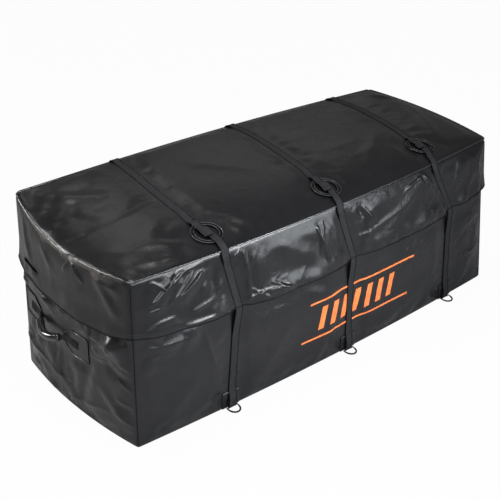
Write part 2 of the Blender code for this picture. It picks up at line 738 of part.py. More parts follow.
def make_joining_ring(line):
    """A flat moulded ring under the crossing of the two straps, turned from its section."""
    x, ring_y = ring_place(line)
    inner, outer = RING_OUTER - RING_BAND, RING_OUTER
    half = RING_THICKNESS / 2
    soft = half * 0.6
    section = [
        (outer, soft - half), (outer - soft, -half), (inner + soft, -half), (inner, soft - half),
        (inner, half - soft), (inner + soft, half), (outer - soft, half), (outer, half - soft),
    ]
    mesh = bpy.data.meshes.new(f"joining_ring_{line}")
    bm = bmesh.new()
    verts = [bm.verts.new((radius, 0.0, height)) for radius, height in section]
    for i, vert in enumerate(verts):
        bm.edges.new((vert, verts[(i + 1) % len(verts)]))
    bm.to_mesh(mesh)
    bm.free()
    ring = add_object(f"joining_ring_{line}", mesh, HARDWARE, 0.30)
    turn = ring.modifiers.new("turn", "SCREW")
    turn.axis = "Z"
    turn.steps = 20
    turn.render_steps = 20
    turn.use_merge_vertices = True
    turn.merge_threshold = 0.00002
    front = wall_point("top", x, ring_y - RING_OUTER, SKIRT_PROUD)
    rear = wall_point("top", x, ring_y + RING_OUTER, SKIRT_PROUD)
    left = wall_point("top", x - RING_OUTER, ring_y, SKIRT_PROUD)
    right = wall_point("top", x + RING_OUTER, ring_y, SKIRT_PROUD)
    normal = (right - left).cross(rear - front).normalized()
    middle = wall_point("top", x, ring_y, SKIRT_PROUD)
    ring.rotation_euler = normal.to_track_quat("Z", "Y").to_euler()
    ring.location = middle + normal * (half + STRAP_GAP)


# Floor rings


def make_floor_ring(line, wall):
    """A wire D-ring whose straight bar turns in the strap's foot loop; it lies out on the floor."""
    half = D_WIDTH / 2
    points = [Vector((-half, 0, 0)), Vector((0, 0, 0)), Vector((half, 0, 0))]
    for i in range(1, 10):
        angle = math.pi * i / 10
        points.append(Vector((half * math.cos(angle), -D_REACH * math.sin(angle) ** 0.8, 0)))
    ring = cord(f"floor_ring_{wall}_{line}", points, D_WIRE, HARDWARE, 0.30, 0.8, cyclic=True, sides=1)
    tip_drop = D_AXIS_HEIGHT - D_WIRE - REST_GAP
    tilt = Matrix.Rotation(math.asin(tip_drop / D_REACH), 4, "X")
    turn = Matrix.Rotation(0.0 if wall == "front" else math.pi, 4, "Z")
    ring.matrix_world = Matrix.Translation(foot_axis(line, wall)) @ turn @ tilt
    return ring


def make_foot_patch(line, wall):
    """A square of doubled cloth sewn to the wall behind a strap's foot."""
    width, height = FOOT_PATCH
    x = lashing_x(line, wall, 0.0)
    s_lines = [x + width * (i / 4 - 0.5) for i in range(5)]
    t_lines = tub_rows(wall, height)[1:]
    panel(f"foot_patch_{wall}_{line}", wall, s_lines, t_lines, COAT_TOP, PATCH_THICKNESS, TARPAULIN, 0.45)


# Carry handles


def handle_bow(y):
    share = clamp(1 - ((y - HANDLE_Y) / HANDLE_FREE) ** 2, 0.0, 1.0)
    return share * share


def handle_place(wall, y, across, lift):
    """A point of the handle: across is up the webbing, lift is away from its inner face."""
    bow = handle_bow(y)
    height = HANDLE_Z - HANDLE_DROOP * bow + across
    return wall_point(wall, y, height, COAT_TOP + STRAP_GAP + HANDLE_BOW * bow + lift)


def handle_half_width(y):
    """Half the webbing's width: it is folded narrow where it runs through the grip."""
    share = smooth_step(GRIP_HALF + 0.002, GRIP_HALF + 0.022, abs(y - HANDLE_Y))
    return blend(HANDLE_WEB_FOLDED, HANDLE_WEB_WIDTH, share) / 2


def handle_stations(reach, count):
    return [HANDLE_Y + reach * (2 * i / count - 1) for i in range(count + 1)]


def handle_band(name, wall, reach, extra, lift, count):
    """Mesh of the handle's webbing, or of the slot that it passes through, wider by extra each side."""
    stations = handle_stations(reach, count)
    if wall == "left":
        stations.reverse()

    def place(column, row):
        y = stations[column]
        return handle_place(wall, y, (handle_half_width(y) + extra) * (2 * row - 1), lift)

    return grid_mesh(name, count, 1, place)


def make_handle_web(wall):
    mesh = handle_band("web", wall, HANDLE_REACH, 0.0, 0.0, HANDLE_STEPS)
    thicken(add_object(f"handle_web_{wall}", mesh, WEBBING, 0.7), WEB_THICKNESS, 1)


def make_handle_grip(wall):
    """A moulded sleeve round the middle of the webbing, with the slot that the webbing runs through."""
    lift = WEB_THICKNESS / 2
    curve = bpy.data.curves.new("grip", "CURVE")
    curve.dimensions = "3D"
    curve.bevel_depth = GRIP_RADIUS
    curve.bevel_resolution = 2
    curve.use_fill_caps = True
    stations = handle_stations(GRIP_HALF, 10)
    spline = curve.splines.new("POLY")
    spline.points.add(len(stations) - 1)
    for i, (point, y) in enumerate(zip(spline.points, stations)):
        point.co = (*handle_place(wall, y, 0.0, lift), 1.0)
        point.radius = 0.86 if i in (0, len(stations) - 1) else 1.0
    guide = bpy.data.objects.new("grip_guide", curve)
    bpy.context.scene.collection.objects.link(guide)
    bpy.context.view_layer.update()
    solid = guide.evaluated_get(bpy.context.evaluated_depsgraph_get())
    mesh = bpy.data.meshes.new_from_object(solid)
    mesh.transform(guide.matrix_world)
    bpy.data.objects.remove(guide)
    bm = bmesh.new()
    bm.from_mesh(mesh)
    bmesh.ops.remove_doubles(bm, verts=bm.verts, dist=0.00002)
    bm.to_mesh(mesh)
    bm.free()
    mesh.materials.clear()
    grip = add_object(f"handle_grip_{wall}", mesh, GRIP_RUBBER, 0.22)
    slot_reach = HANDLE_REACH * GRIP_SLOT_STEPS / HANDLE_STEPS
    slot = handle_band("slot", wall, slot_reach, GRIP_SLOT_GAP, -GRIP_SLOT_GAP, GRIP_SLOT_STEPS)
    cutter = add_cutter(f"grip_slot_{wall}", slot)
    thicken(cutter, WEB_THICKNESS + 2 * GRIP_SLOT_GAP, 1)
    cut = grip.modifiers.new("slot", "BOOLEAN")
    cut.operation = "DIFFERENCE"
    cut.object = cutter
    return grip


def make_handle_patch(wall, name, direction):
    """A pentagon of doubled cloth under each end of the webbing, its point towards the grip."""
    start = GRIP_HALF + 0.012
    full = HANDLE_PATCH_HEIGHT / 2
    tip = HANDLE_WEB_WIDTH / 2 + 0.004
    offsets = [start + HANDLE_PATCH_LENGTH * i / 6 for i in range(7)]
    s_lines = sorted(HANDLE_Y + direction * offset for offset in offsets)

    def shape(s, t):
        along = (direction * (s - HANDLE_Y) - start) / HANDLE_PATCH_LENGTH
        half = blend(tip, full, clamp(along / PATCH_TAPER, 0.0, 1.0))
        return s, HANDLE_Z + half * t

    t_lines = [-1.0, -0.5, 0.0, 0.5, 1.0]
    panel(
        f"handle_patch_{wall}_{name}", wall, s_lines, t_lines, COAT_TOP, PATCH_THICKNESS, TARPAULIN, 0.45,
        shape=shape,
    )


def main():
    clear_scene()
    collection(COLLECTION)
    collection(CUTTERS)
    make_tub()
    make_lid()
    make_piping()
    make_zip()
    make_sliders()
    for line in LASHINGS:
        make_lashing(line)
        make_joining_ring(line)
        for wall in ("front", "back"):
            make_floor_ring(line, wall)
            make_foot_patch(line, wall)
    for wall in ("left", "right"):
        make_handle_web(wall)
        make_handle_grip(wall)
        make_handle_patch(wall, "near", -1)
        make_handle_patch(wall, "far", 1)


main()
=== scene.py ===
"""Looks of the hitch cargo bag: wrinkled tarpaulin shells, webbing, rings, handles, studio and camera."""
import math

import bmesh
import bpy
from mathutils import Matrix, Vector, noise
from mathutils.bvhtree import BVHTree


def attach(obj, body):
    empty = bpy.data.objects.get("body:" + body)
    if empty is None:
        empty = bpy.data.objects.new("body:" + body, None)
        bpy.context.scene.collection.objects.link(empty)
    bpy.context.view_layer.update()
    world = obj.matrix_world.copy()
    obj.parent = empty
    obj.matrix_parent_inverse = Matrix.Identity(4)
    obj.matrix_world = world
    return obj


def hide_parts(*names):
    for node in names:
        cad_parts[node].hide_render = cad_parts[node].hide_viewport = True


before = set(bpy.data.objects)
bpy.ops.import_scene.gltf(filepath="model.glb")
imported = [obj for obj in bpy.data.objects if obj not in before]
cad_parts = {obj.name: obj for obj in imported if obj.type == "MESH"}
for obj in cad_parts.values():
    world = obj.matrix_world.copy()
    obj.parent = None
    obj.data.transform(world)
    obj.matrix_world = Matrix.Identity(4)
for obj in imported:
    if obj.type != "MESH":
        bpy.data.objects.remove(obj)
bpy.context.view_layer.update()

# Vector noise is drawn from a seed, so that every run gives the same folds
NOISE_SEED = 1
noise.seed_set(NOISE_SEED)

# The bag's surface, in metres, as the frame's solids have it
LENGTH = 1.500
WIDTH = 0.590
HEIGHT = 0.565
EDGE_RADIUS = 0.009
FRONT_SWELL = 0.024
END_SWELL = 0.027
LID_SWELL = 0.008
BELLY = 0.006
CROWN_LEFT = 0.046
CROWN_RIGHT = 0.022
SKIRT_PROUD = 0.010
SKIRT_DEPTH = 0.213
SKIRT_CORNER_RISE = 0.026
SKIRT_END_RISE = 0.010
HEM_FLARE = 0.007
HEM_FLARE_DEPTH = 0.085
REAR_LIFT_LEFT = 0.032
REAR_LIFT_RIGHT = -0.002
FRONT_DROP = 0.008
LEFT_SAG = 0.022
CORNER_SHIFT = {
    (-1, 1, 1): (0.010, 0.000),
    (-1, -1, 1): (0.000, -0.004),
    (1, 1, 1): (0.004, -0.006),
    (1, -1, 1): (-0.020, 0.018),
    (-1, 1, 0): (-0.012, -0.006),
    (-1, -1, 0): (-0.008, -0.008),
    (1, -1, 0): (0.022, 0.000),
    (1, 1, 0): (0.006, 0.000),
}
HALF_LENGTH = LENGTH / 2
HALF_WIDTH = WIDTH / 2
RAW_TOP = HEIGHT - SKIRT_PROUD
SKIRT_HEM = HEIGHT - SKIRT_DEPTH
ZIP_HEIGHT = 0.410

# Webbing, patches, rings, piping, thread and handles
WEB_WIDTH = 0.025
WEB_THICKNESS = 0.0018
STRAP_GAP = 0.0006
PATCH_PROUD = 0.0013
RING_OUTER = 0.047
RING_BAND = 0.011
RING_THICKNESS = 0.005
PIPING_RADIUS = 0.0022
D_WIRE = 0.0021
D_WIDTH = 0.040
D_REACH = 0.030
D_STANDOFF = 0.0065
D_AXIS_HEIGHT = 0.0052
FOOT_RUN = 0.075
FOOT_PATCH = (0.062, 0.060)
RING_LAP = 0.016
HANDLE_Y = 0.146 * WIDTH
HANDLE_Z = 0.247
HANDLE_WEB_WIDTH = 0.028
HANDLE_WEB_FOLDED = 0.012
HANDLE_REACH = 0.245 * WIDTH
HANDLE_FREE = 0.160 * WIDTH
HANDLE_BOW = 0.027
HANDLE_DROOP = 0.014
GRIP_HALF = 0.105 * WIDTH
GRIP_RADIUS = 0.0125
HANDLE_PATCH_LENGTH = 0.200 * WIDTH
HANDLE_PATCH_HEIGHT = 0.082
HANDLE_PATCH_GAP = 0.012
PATCH_TAPER = 0.34

# Lashing lines: X at the back wall, the ring, the front edge, the skirt's hem and the foot,
# and how far the ring lies in from the front edge
LASHINGS = {
    "left": (-0.388, -0.441, -0.447, -0.397, -0.424, 0.063),
    "middle": (0.096, 0.022, 0.004, 0.068, 0.058, 0.063),
    "right": (0.560, 0.482, 0.458, 0.556, 0.544, 0.081),
}

# Folds: (s0, t0, s1, t1, half width, height). s runs along the wall and t up it; on top s is X, t is Y.
LID_FOLDS = {
    "front": (
        (-0.660, 0.520, -0.585, 0.560, 0.010, 0.009), (-0.650, 0.500, -0.680, 0.440, 0.008, 0.008),
        (-0.610, 0.455, -0.525, 0.515, 0.010, 0.011), (-0.700, 0.400, -0.560, 0.372, 0.012, 0.007),
        (-0.480, 0.415, -0.470, 0.500, 0.008, 0.007), (-0.375, 0.530, -0.372, 0.380, 0.010, 0.009),
        (-0.300, 0.360, -0.180, 0.385, 0.012, 0.008), (-0.250, 0.520, -0.120, 0.430, 0.024, 0.007),
        (-0.030, 0.520, -0.015, 0.400, 0.009, 0.009), (0.110, 0.370, 0.140, 0.520, 0.012, 0.008),
        (0.230, 0.420, 0.360, 0.505, 0.020, 0.007), (0.330, 0.370, 0.460, 0.400, 0.011, 0.007),
        (0.400, 0.540, 0.440, 0.470, 0.008, 0.009), (0.610, 0.380, 0.690, 0.480, 0.014, 0.008),
        (-0.585, 0.440, -0.640, 0.500, 0.006, 0.006), (-0.520, 0.440, -0.500, 0.530, 0.006, 0.006),
        (-0.410, 0.535, -0.395, 0.490, 0.006, 0.007), (-0.345, 0.535, -0.358, 0.490, 0.006, 0.007),
        (-0.060, 0.510, -0.050, 0.430, 0.007, 0.006),
    ),
    "back": (
        (-0.620, 0.400, -0.520, 0.500, 0.016, 0.008), (-0.250, 0.520, -0.120, 0.400, 0.018, 0.008),
        (0.250, 0.390, 0.380, 0.500, 0.018, 0.008), (0.640, 0.520, 0.680, 0.400, 0.014, 0.008),
    ),
    "left": (
        (0.240, 0.520, 0.190, 0.430, 0.012, 0.010), (0.110, 0.530, 0.060, 0.480, 0.008, 0.009),
        (-0.020, 0.400, -0.120, 0.480, 0.016, 0.007), (-0.180, 0.530, -0.250, 0.440, 0.012, 0.008),
    ),
    "right": (
        (-0.200, 0.420, -0.110, 0.510, 0.014, 0.008), (0.120, 0.510, 0.220, 0.410, 0.014, 0.009),
    ),
    "top": (
        (-0.690, 0.230, -0.560, 0.100, 0.020, 0.009), (-0.640, -0.180, -0.520, -0.235, 0.014, 0.006),
        (-0.250, 0.120, -0.100, -0.050, 0.035, 0.006), (0.230, -0.210, 0.400, -0.080, 0.022, 0.006),
        (0.300, 0.200, 0.470, 0.120, 0.022, 0.006), (0.600, -0.180, 0.700, 0.060, 0.018, 0.009),
        (0.640, 0.230, 0.710, 0.150, 0.014, 0.009),
    ),
}
TUB_FOLDS = {
    "front": (
        (-0.700, 0.300, -0.600, 0.315, 0.012, 0.008), (-0.690, 0.060, -0.560, 0.150, 0.028, 0.008),
        (-0.330, 0.060, -0.200, 0.200, 0.036, 0.006), (-0.120, 0.300, -0.020, 0.240, 0.022, 0.006),
        (0.210, 0.040, 0.420, 0.120, 0.032, 0.007), (0.650, 0.060, 0.715, 0.220, 0.018, 0.010),
    ),
    "back": (
        (-0.600, 0.080, -0.480, 0.240, 0.030, 0.008), (-0.200, 0.260, -0.050, 0.120, 0.030, 0.007),
        (0.250, 0.080, 0.420, 0.240, 0.030, 0.008),
    ),
    "left": (
        (0.230, 0.130, 0.060, 0.030, 0.020, 0.010), (0.110, 0.150, -0.060, 0.050, 0.020, 0.008),
        (-0.250, 0.090, -0.170, 0.160, 0.013, 0.009), (-0.255, 0.250, -0.180, 0.285, 0.012, 0.008),
        (-0.120, 0.090, -0.150, 0.230, 0.020, 0.006),
    ),
    "right": (
        (-0.200, 0.080, -0.060, 0.180, 0.022, 0.009), (0.150, 0.180, 0.240, 0.060, 0.022, 0.009),
    ),
}

# Sharp creases that are pressed into the settled cloth, written as the folds are
LID_CREASES = {
    "front": (
        (-0.707, 0.441, -0.670, 0.447, 0.0045, 0.0060), (-0.682, 0.396, -0.630, 0.402, 0.0070, 0.0045),
        (-0.600, 0.364, -0.500, 0.366, 0.0055, 0.0060), (-0.565, 0.402, -0.502, 0.419, 0.0100, 0.0060),
        (0.027, 0.488, 0.058, 0.404, 0.0080, 0.0040), (-0.614, 0.548, -0.651, 0.510, 0.0036, 0.0070),
        (-0.690, 0.540, -0.654, 0.508, 0.0036, 0.0056), (-0.654, 0.508, -0.692, 0.470, 0.0036, 0.0080),
        (-0.654, 0.508, -0.584, 0.544, 0.0036, 0.0078), (-0.584, 0.544, -0.521, 0.548, 0.0036, 0.0045),
        (-0.612, 0.466, -0.530, 0.520, 0.0040, 0.0090), (-0.640, 0.450, -0.560, 0.528, 0.0040, 0.0060),
        (-0.474, 0.439, -0.440, 0.495, 0.0038, 0.0075), (-0.430, 0.548, -0.419, 0.525, 0.0040, 0.0060),
        (-0.419, 0.525, -0.392, 0.548, 0.0040, 0.0067), (-0.378, 0.535, -0.364, 0.385, 0.0050, 0.0075),
        (-0.097, 0.521, -0.060, 0.400, 0.0050, 0.0083), (-0.072, 0.534, -0.089, 0.440, 0.0045, 0.0067),
        (-0.370, 0.378, -0.314, 0.389, 0.0045, 0.0067), (-0.314, 0.389, -0.205, 0.372, 0.0045, 0.0067),
        (-0.358, 0.406, -0.300, 0.362, 0.0045, 0.0060), (-0.283, 0.406, -0.215, 0.362, 0.0045, 0.0060),
        (0.308, 0.518, 0.396, 0.545, 0.0045, 0.0067), (0.396, 0.545, 0.440, 0.500, 0.0045, 0.0075),
        (0.094, 0.424, 0.274, 0.463, 0.0070, 0.0045), (0.110, 0.520, 0.160, 0.455, 0.0060, 0.0067),
    ),
    "left": (
        (-0.157, 0.532, -0.255, 0.520, 0.0200, 0.0060), (-0.050, 0.552, -0.110, 0.500, 0.0055, 0.0090),
        (-0.050, 0.552, -0.020, 0.500, 0.0060, 0.0060),
    ),
    "top": (
        (-0.655, -0.262, -0.564, -0.280, 0.0050, 0.0053), (-0.735, 0.020, -0.690, -0.010, 0.0060, 0.0067),
    ),
}
TUB_CREASES = {
    "front": (
        (-0.710, 0.326, -0.560, 0.316, 0.0260, 0.0125), (-0.698, 0.297, -0.626, 0.284, 0.0100, 0.0060),
        (-0.520, 0.310, -0.480, 0.180, 0.0100, 0.0040), (0.725, 0.180, 0.700, 0.146, 0.0090, 0.0040),
        (0.700, 0.146, 0.614, 0.137, 0.0090, 0.0040),
    ),
    "left": (
        (-0.090, 0.316, -0.258, 0.328, 0.0260, 0.0110), (0.137, 0.345, 0.080, 0.335, 0.0180, 0.0120),
        (0.262, 0.129, 0.020, 0.108, 0.0090, 0.0070), (0.272, 0.074, 0.050, 0.040, 0.0080, 0.0065),
        (-0.245, 0.275, -0.288, 0.262, 0.0080, 0.0030), (-0.243, 0.215, -0.288, 0.192, 0.0080, 0.0030),
        (-0.231, 0.152, -0.288, 0.138, 0.0080, 0.0030), (-0.228, 0.100, -0.288, 0.072, 0.0080, 0.0030),
        (0.100, 0.030, -0.180, 0.092, 0.0120, 0.0055),
    ),
}

WALLS = {
    "front": (Vector((1, 0, 0)), Vector((0, 0, 1)), Vector((0, -1, 0)), HALF_WIDTH),
    "back": (Vector((1, 0, 0)), Vector((0, 0, 1)), Vector((0, 1, 0)), HALF_WIDTH),
    "left": (Vector((0, 1, 0)), Vector((0, 0, 1)), Vector((-1, 0, 0)), HALF_LENGTH),
    "right": (Vector((0, 1, 0)), Vector((0, 0, 1)), Vector((1, 0, 0)), HALF_LENGTH),
    "top": (Vector((1, 0, 0)), Vector((0, 1, 0)), Vector((0, 0, 1)), RAW_TOP),
    "bottom": (Vector((1, 0, 0)), Vector((0, 1, 0)), Vector((0, 0, -1)), 0.0),
}
ENDS = ("left", "right")
AROUND = ("front", "right", "back", "left")
WALL_CODES = ("bottom", "left", "front", "right", "back", "top")
CODE_STEP = 4.0

# How the cloth's grid is laid, where it is pressed flat, and how far the skirt leans out
SHELL_STEP = 0.015
EDGE_STEPS = 3
PRESS_MARGIN = 0.003
PRESS_FADE = 0.030
BILLOW = 0.007
CALM_END = 0.20
CALM_RIGHT = 0.6

# How the shells settle, and how much of it and of the fine creases each wall keeps
SETTLE_FRAMES = 16
SETTLE_CAP = 0.013
SETTLE_PRESSURE = 2.2
SETTLE_GROWTH = 0.035
LOOSENESS = {
    ("lid", "front"): 0.6, ("lid", "back"): 1.0, ("lid", "left"): 0.25, ("lid", "right"): 0.9,
    ("lid", "top"): 0.60, ("tub", "front"): 0.55, ("tub", "back"): 0.7, ("tub", "left"): 0.75,
    ("tub", "right"): 0.75, ("tub", "bottom"): 0.0,
}
FINE_SHARES = {("lid", "top"): 0.25, ("lid", "left"): 0.2, ("lid", "front"): 0.7, ("tub", "front"): 0.6}
FINE_HEIGHT = {"tub": 0.0016, "lid": 0.0020}

# Heights on each wall between which the shells are cut more finely
TUB_FINE_SPANS = {"front": (0.100, SKIRT_HEM + 0.030), "left": (0.0, SKIRT_HEM + 0.030)}
LID_FINE_SPANS = {"front": (0.0, RAW_TOP), "left": (0.0, RAW_TOP)}

# Hem, welts, piping and thread. A piping wave is (s, reach, height) on the left end.
HEM_ROLL = 0.0019
HEM_ROWS = (0.008, 0.014)
CORNER_WELT = 0.0015
WELT_MARGIN = 0.004
PIPING_SWELL = 1.3
PIPING_WAVES = ((-0.010, 0.030, -0.0060), (-0.050, 0.018, 0.0035))
STITCH_PITCH = 0.0045
STITCH_LENGTH = 0.0032
THREAD_RADIUS = 0.00045
THREAD_SECTIONS = ((-0.5, 0.3), (-0.3, 1.0), (0.3, 1.0), (0.5, 0.3))
THREAD_SIDES = 6

# Straps: heights over what lies below, points across the webbing, and the fold at the ring
STRAP_ON_TOP = SKIRT_PROUD + STRAP_GAP
OVER_PIPING = 2 * PIPING_RADIUS + 0.0006
OVER_RING = RING_THICKNESS + 2 * STRAP_GAP
ACROSS = (-1.0, -0.9, -0.3, 0.3, 0.9, 1.0)
STRAP_STEP = 0.005
FOOT_TURN_STEPS = 10
FOOT_TAIL = 0.32 * FOOT_RUN
RING_SHIFT = 0.006
# Radius of the near-black lines along the straps' edges and the fold's end, which are painted shadow
SHADOW_LINE_RADIUS = 0.0011
FOLD_WIDTH = 1.22
FOLD_REACH = (-0.019, 0.016)
FOLD_THICKNESS = 0.0022
WIRE_SWELL = 0.3
PATCH_THICKNESS = 0.0010
PATCH_COLUMNS = 40
PATCH_ACROSS = 24
PATCH_RIM = 0.10
PATCH_ROLL = 0.0013

# Joining rings: how they are made from their section, and the bead along each rim, paler and glossier than
# the ring as a painted highlight
RING_STEPS = 96
RING_SIDES = 14
HIGHLIGHT_BEAD_RADIUS = 0.0008
HIGHLIGHT_BEAD_INSET = 0.0007

# Printed mark: slanted bars between two rules
MARK_LEFT = -0.150
MARK_RIGHT = 0.330
MARK_LOW = 0.110
MARK_HIGH = 0.250
MARK_SLANT = 0.035
MARK_RULE = 0.007
MARK_MARGIN = 0.060
MARK_BARS = 7
MARK_BAR_SHARE = 0.45
MARK_BAR_INSET = 0.030
MARK_CELL = 0.004
MARK_PROUD = 0.0005

# Camera, lamps (name, place, size, power, color, aim, spread in degrees) and floor
CAMERA_AZIMUTH = math.radians(-40.34)
CAMERA_ELEVATION = math.radians(28.63)
CAMERA_DISTANCE = 3.689
CAMERA_TARGET = Vector((-0.0777, 0.0, 0.2879))
CAMERA_LENS = 80.83
WHITE = (1.0, 1.0, 1.0)
CENTRE = (0.0, 0.0, 0.3)
LAMPS = (
    ("top", (-0.8, 0.2, 4.4), (2.4, 2.0), 140, WHITE, CENTRE, 180),
    ("sky_card", (2.6, 3.1, 2.6), (1.8, 0.9), 2, WHITE, CENTRE, 180),
    ("crest", (0.5, 2.5, 2.9), (1.0, 0.5), 3, WHITE, CENTRE, 180),
    ("front_strip", (0.85, -1.75, 0.45), (0.8, 0.70), 2.1, (0.90, 0.95, 1.0), (0.0, -0.3, 0.45), 70),
    ("front_left", (-1.2, -3.3, 1.5), (3.0, 1.8), 24, (0.90, 0.94, 1.0), (-0.5, -0.3, 0.60), 80),
    ("front_high", (0.8, -2.2, 1.35), (0.9, 0.5), 4.8, (0.94, 0.97, 1.0), (-0.4, -0.3, 0.5), 50),
    ("edge_left", (-2.6, 2.4, 2.0), (0.8, 0.25), 2.0, WHITE, (-0.75, 0.0, 0.6), 30),
    ("left_fill", (-3.2, -0.5, 0.9), (1.6, 1.2), 5, (1.0, 0.84, 0.68), (-1.0, 0.2, 0.0), 180),
    ("left_strip", (-2.0, 1.35, 0.55), (1.1, 0.24), 0.45, (1.0, 0.90, 0.80), (-0.8, 0.0, 0.40), 60),
)
FLOOR_HALF = 14
FLOOR_DROP = 0.0004
FLOOR_COLOR = (0.53, 0.53, 0.535, 1.0)
FLOOR_SEEN = 0.97
SKY_STRENGTH = 0.15


def clamp(value, low=0.0, high=1.0):
    return max(low, min(high, value))


def blend(a, b, share):
    return a + (b - a) * share


def smooth_step(low, high, value):
    share = clamp((value - low) / (high - low))
    return share * share * (3 - 2 * share)


# The surface that everything lies on


def half_span(wall):
    return HALF_WIDTH if wall in ENDS else HALF_LENGTH


def raw_point(wall, s, t):
    along, up, out, base = WALLS[wall]
    return along * s + up * t + out * base


def swollen(point):
    """Move a point of the plain box to where the load has pushed it."""
    a = clamp(point.x / HALF_LENGTH, -1.05, 1.05)
    b = clamp(point.y / HALF_WIDTH, -1.05, 1.05)
    c = clamp(point.z / HEIGHT)
    belly = BELLY * math.sin(math.pi * c)
    x = point.x + a * (END_SWELL + belly) * (1 - b * b)
    y = point.y + b * (FRONT_SWELL + belly + LID_SWELL * c * c) * (1 - a * a)
    for (end, side, level), (shift_x, shift_y) in CORNER_SHIFT.items():
        share = (1 + end * a) / 2 * (1 + side * b) / 2 * (c if level else 1 - c)
        x += shift_x * share
        y += shift_y * share
    rear = ((1 + b) / 2) ** 3 * blend(REAR_LIFT_LEFT, REAR_LIFT_RIGHT, (1 + a) / 2)
    crown = blend(CROWN_LEFT, CROWN_RIGHT, (1 + a) / 2) * (1 - a ** 4) * (1 - abs(b) ** 3)
    sag = LEFT_SAG * ((1 - a) / 2) ** 6 * (1 - b * b) * (1 + b / 2)
    z = point.z + c ** 3 * (rear + crown - sag - FRONT_DROP * (1 - b) / 2)
    return Vector((x, y, z))


def rounded(raw):
    core = Vector((
        clamp(raw.x, EDGE_RADIUS - HALF_LENGTH, HALF_LENGTH - EDGE_RADIUS),
        clamp(raw.y, EDGE_RADIUS - HALF_WIDTH, HALF_WIDTH - EDGE_RADIUS),
        clamp(raw.z, EDGE_RADIUS, RAW_TOP - EDGE_RADIUS),
    ))
    return core, (raw - core).normalized()


def ring_place(line):
    """X and Y of a joining ring's middle."""
    return LASHINGS[line][1], LASHINGS[line][5] - HALF_WIDTH


def lashing_x(line, wall, t):
    """X of a lashing line where it crosses the top panel at Y = t, or a wall at height t."""
    back, ring, edge, hem, foot, inset = LASHINGS[line]
    ring_y = inset - HALF_WIDTH
    if wall == "top":
        if t > ring_y:
            return blend(ring, back, (t - ring_y) / (HALF_WIDTH - ring_y))
        return blend(ring, edge, (ring_y - t) / (HALF_WIDTH + ring_y))
    if wall == "back":
        return back
    if t > SKIRT_HEM:
        return blend(hem, edge, (t - SKIRT_HEM) / (RAW_TOP - SKIRT_HEM))
    return blend(foot, hem, t / SKIRT_HEM)


def strap_distance(wall, s, t):
    if wall in (*ENDS, "bottom"):
        return 1.0
    return min(abs(s - lashing_x(line, wall, t)) for line in LASHINGS)


def pressed_free(wall, s, t):
    """1 where the cloth is free, falling to 0 under straps, rings, patches and the handle."""
    start = WEB_WIDTH / 2 + PRESS_MARGIN
    if wall in ("front", "back") and t < FOOT_PATCH[1] + 0.01:
        start = FOOT_PATCH[0] / 2 + PRESS_MARGIN
    free = smooth_step(start, start + PRESS_FADE, strap_distance(wall, s, t))
    if wall == "top":
        for line in LASHINGS:
            ring, ring_y = ring_place(line)
            away = math.hypot(s - ring, t - ring_y)
            free *= smooth_step(RING_OUTER + 0.008, RING_OUTER + 0.008 + PRESS_FADE, away)
    if wall in ENDS:
        across = abs(s - HANDLE_Y) - (GRIP_HALF + HANDLE_PATCH_GAP + HANDLE_PATCH_LENGTH)
        along = abs(t - HANDLE_Z) - HANDLE_PATCH_HEIGHT / 2
        free *= smooth_step(0.004, 0.030, max(across, along))
    return free


def edge_distance(wall, s, t):
    """How far a point lies in from its panel's sewn edges, other than the foot."""
    if wall in ("top", "bottom"):
        return min(HALF_LENGTH - abs(s), HALF_WIDTH - abs(t))
    return min(half_span(wall) - abs(s), RAW_TOP - t)


def seam_free(wall, s, t, reach=0.020):
    """1 inside a panel, falling to 0 at its sewn edges."""
    inward = edge_distance(wall, s, t)
    if wall not in ("top", "bottom"):
        inward = min(inward, t)
    return smooth_step(0.002, reach, inward)


def ridge(away, half_width):
    """A fold's section: a fairly sharp crest that runs out softly."""
    share = away / half_width
    return 0.6 * math.exp(-abs(share) * 1.3) + 0.4 * math.exp(-share * share)


def fold_height(folds, wall, s, t):
    total = 0.0
    for s0, t0, s1, t1, half_width, height in folds.get(wall, ()):
        ds, dt = s1 - s0, t1 - t0
        share = clamp(((s - s0) * ds + (t - t0) * dt) / (ds * ds + dt * dt))
        away = math.hypot(s - s0 - share * ds, t - t0 - share * dt)
        if away < half_width * 4:
            taper = 1 - 0.5 * abs(2 * share - 1) ** 3
            total += height * taper * ridge(away, half_width)
    return total


def creases(place, scale, seed):
    """A net of sharp creases: high along the zero lines of warped noise."""
    warp = noise.noise_vector(place * scale * 0.6 + Vector((seed, 0, 0))) * 0.7
    value = noise.noise(place * scale + warp + Vector((0, seed, 0)))
    return (1 - min(1.0, abs(value) * 3.2)) ** 2


def patches(place, scale, seed, low=0.0, high=0.35):
    return smooth_step(low, high, noise.noise(place * scale + Vector((seed, seed, 0))))


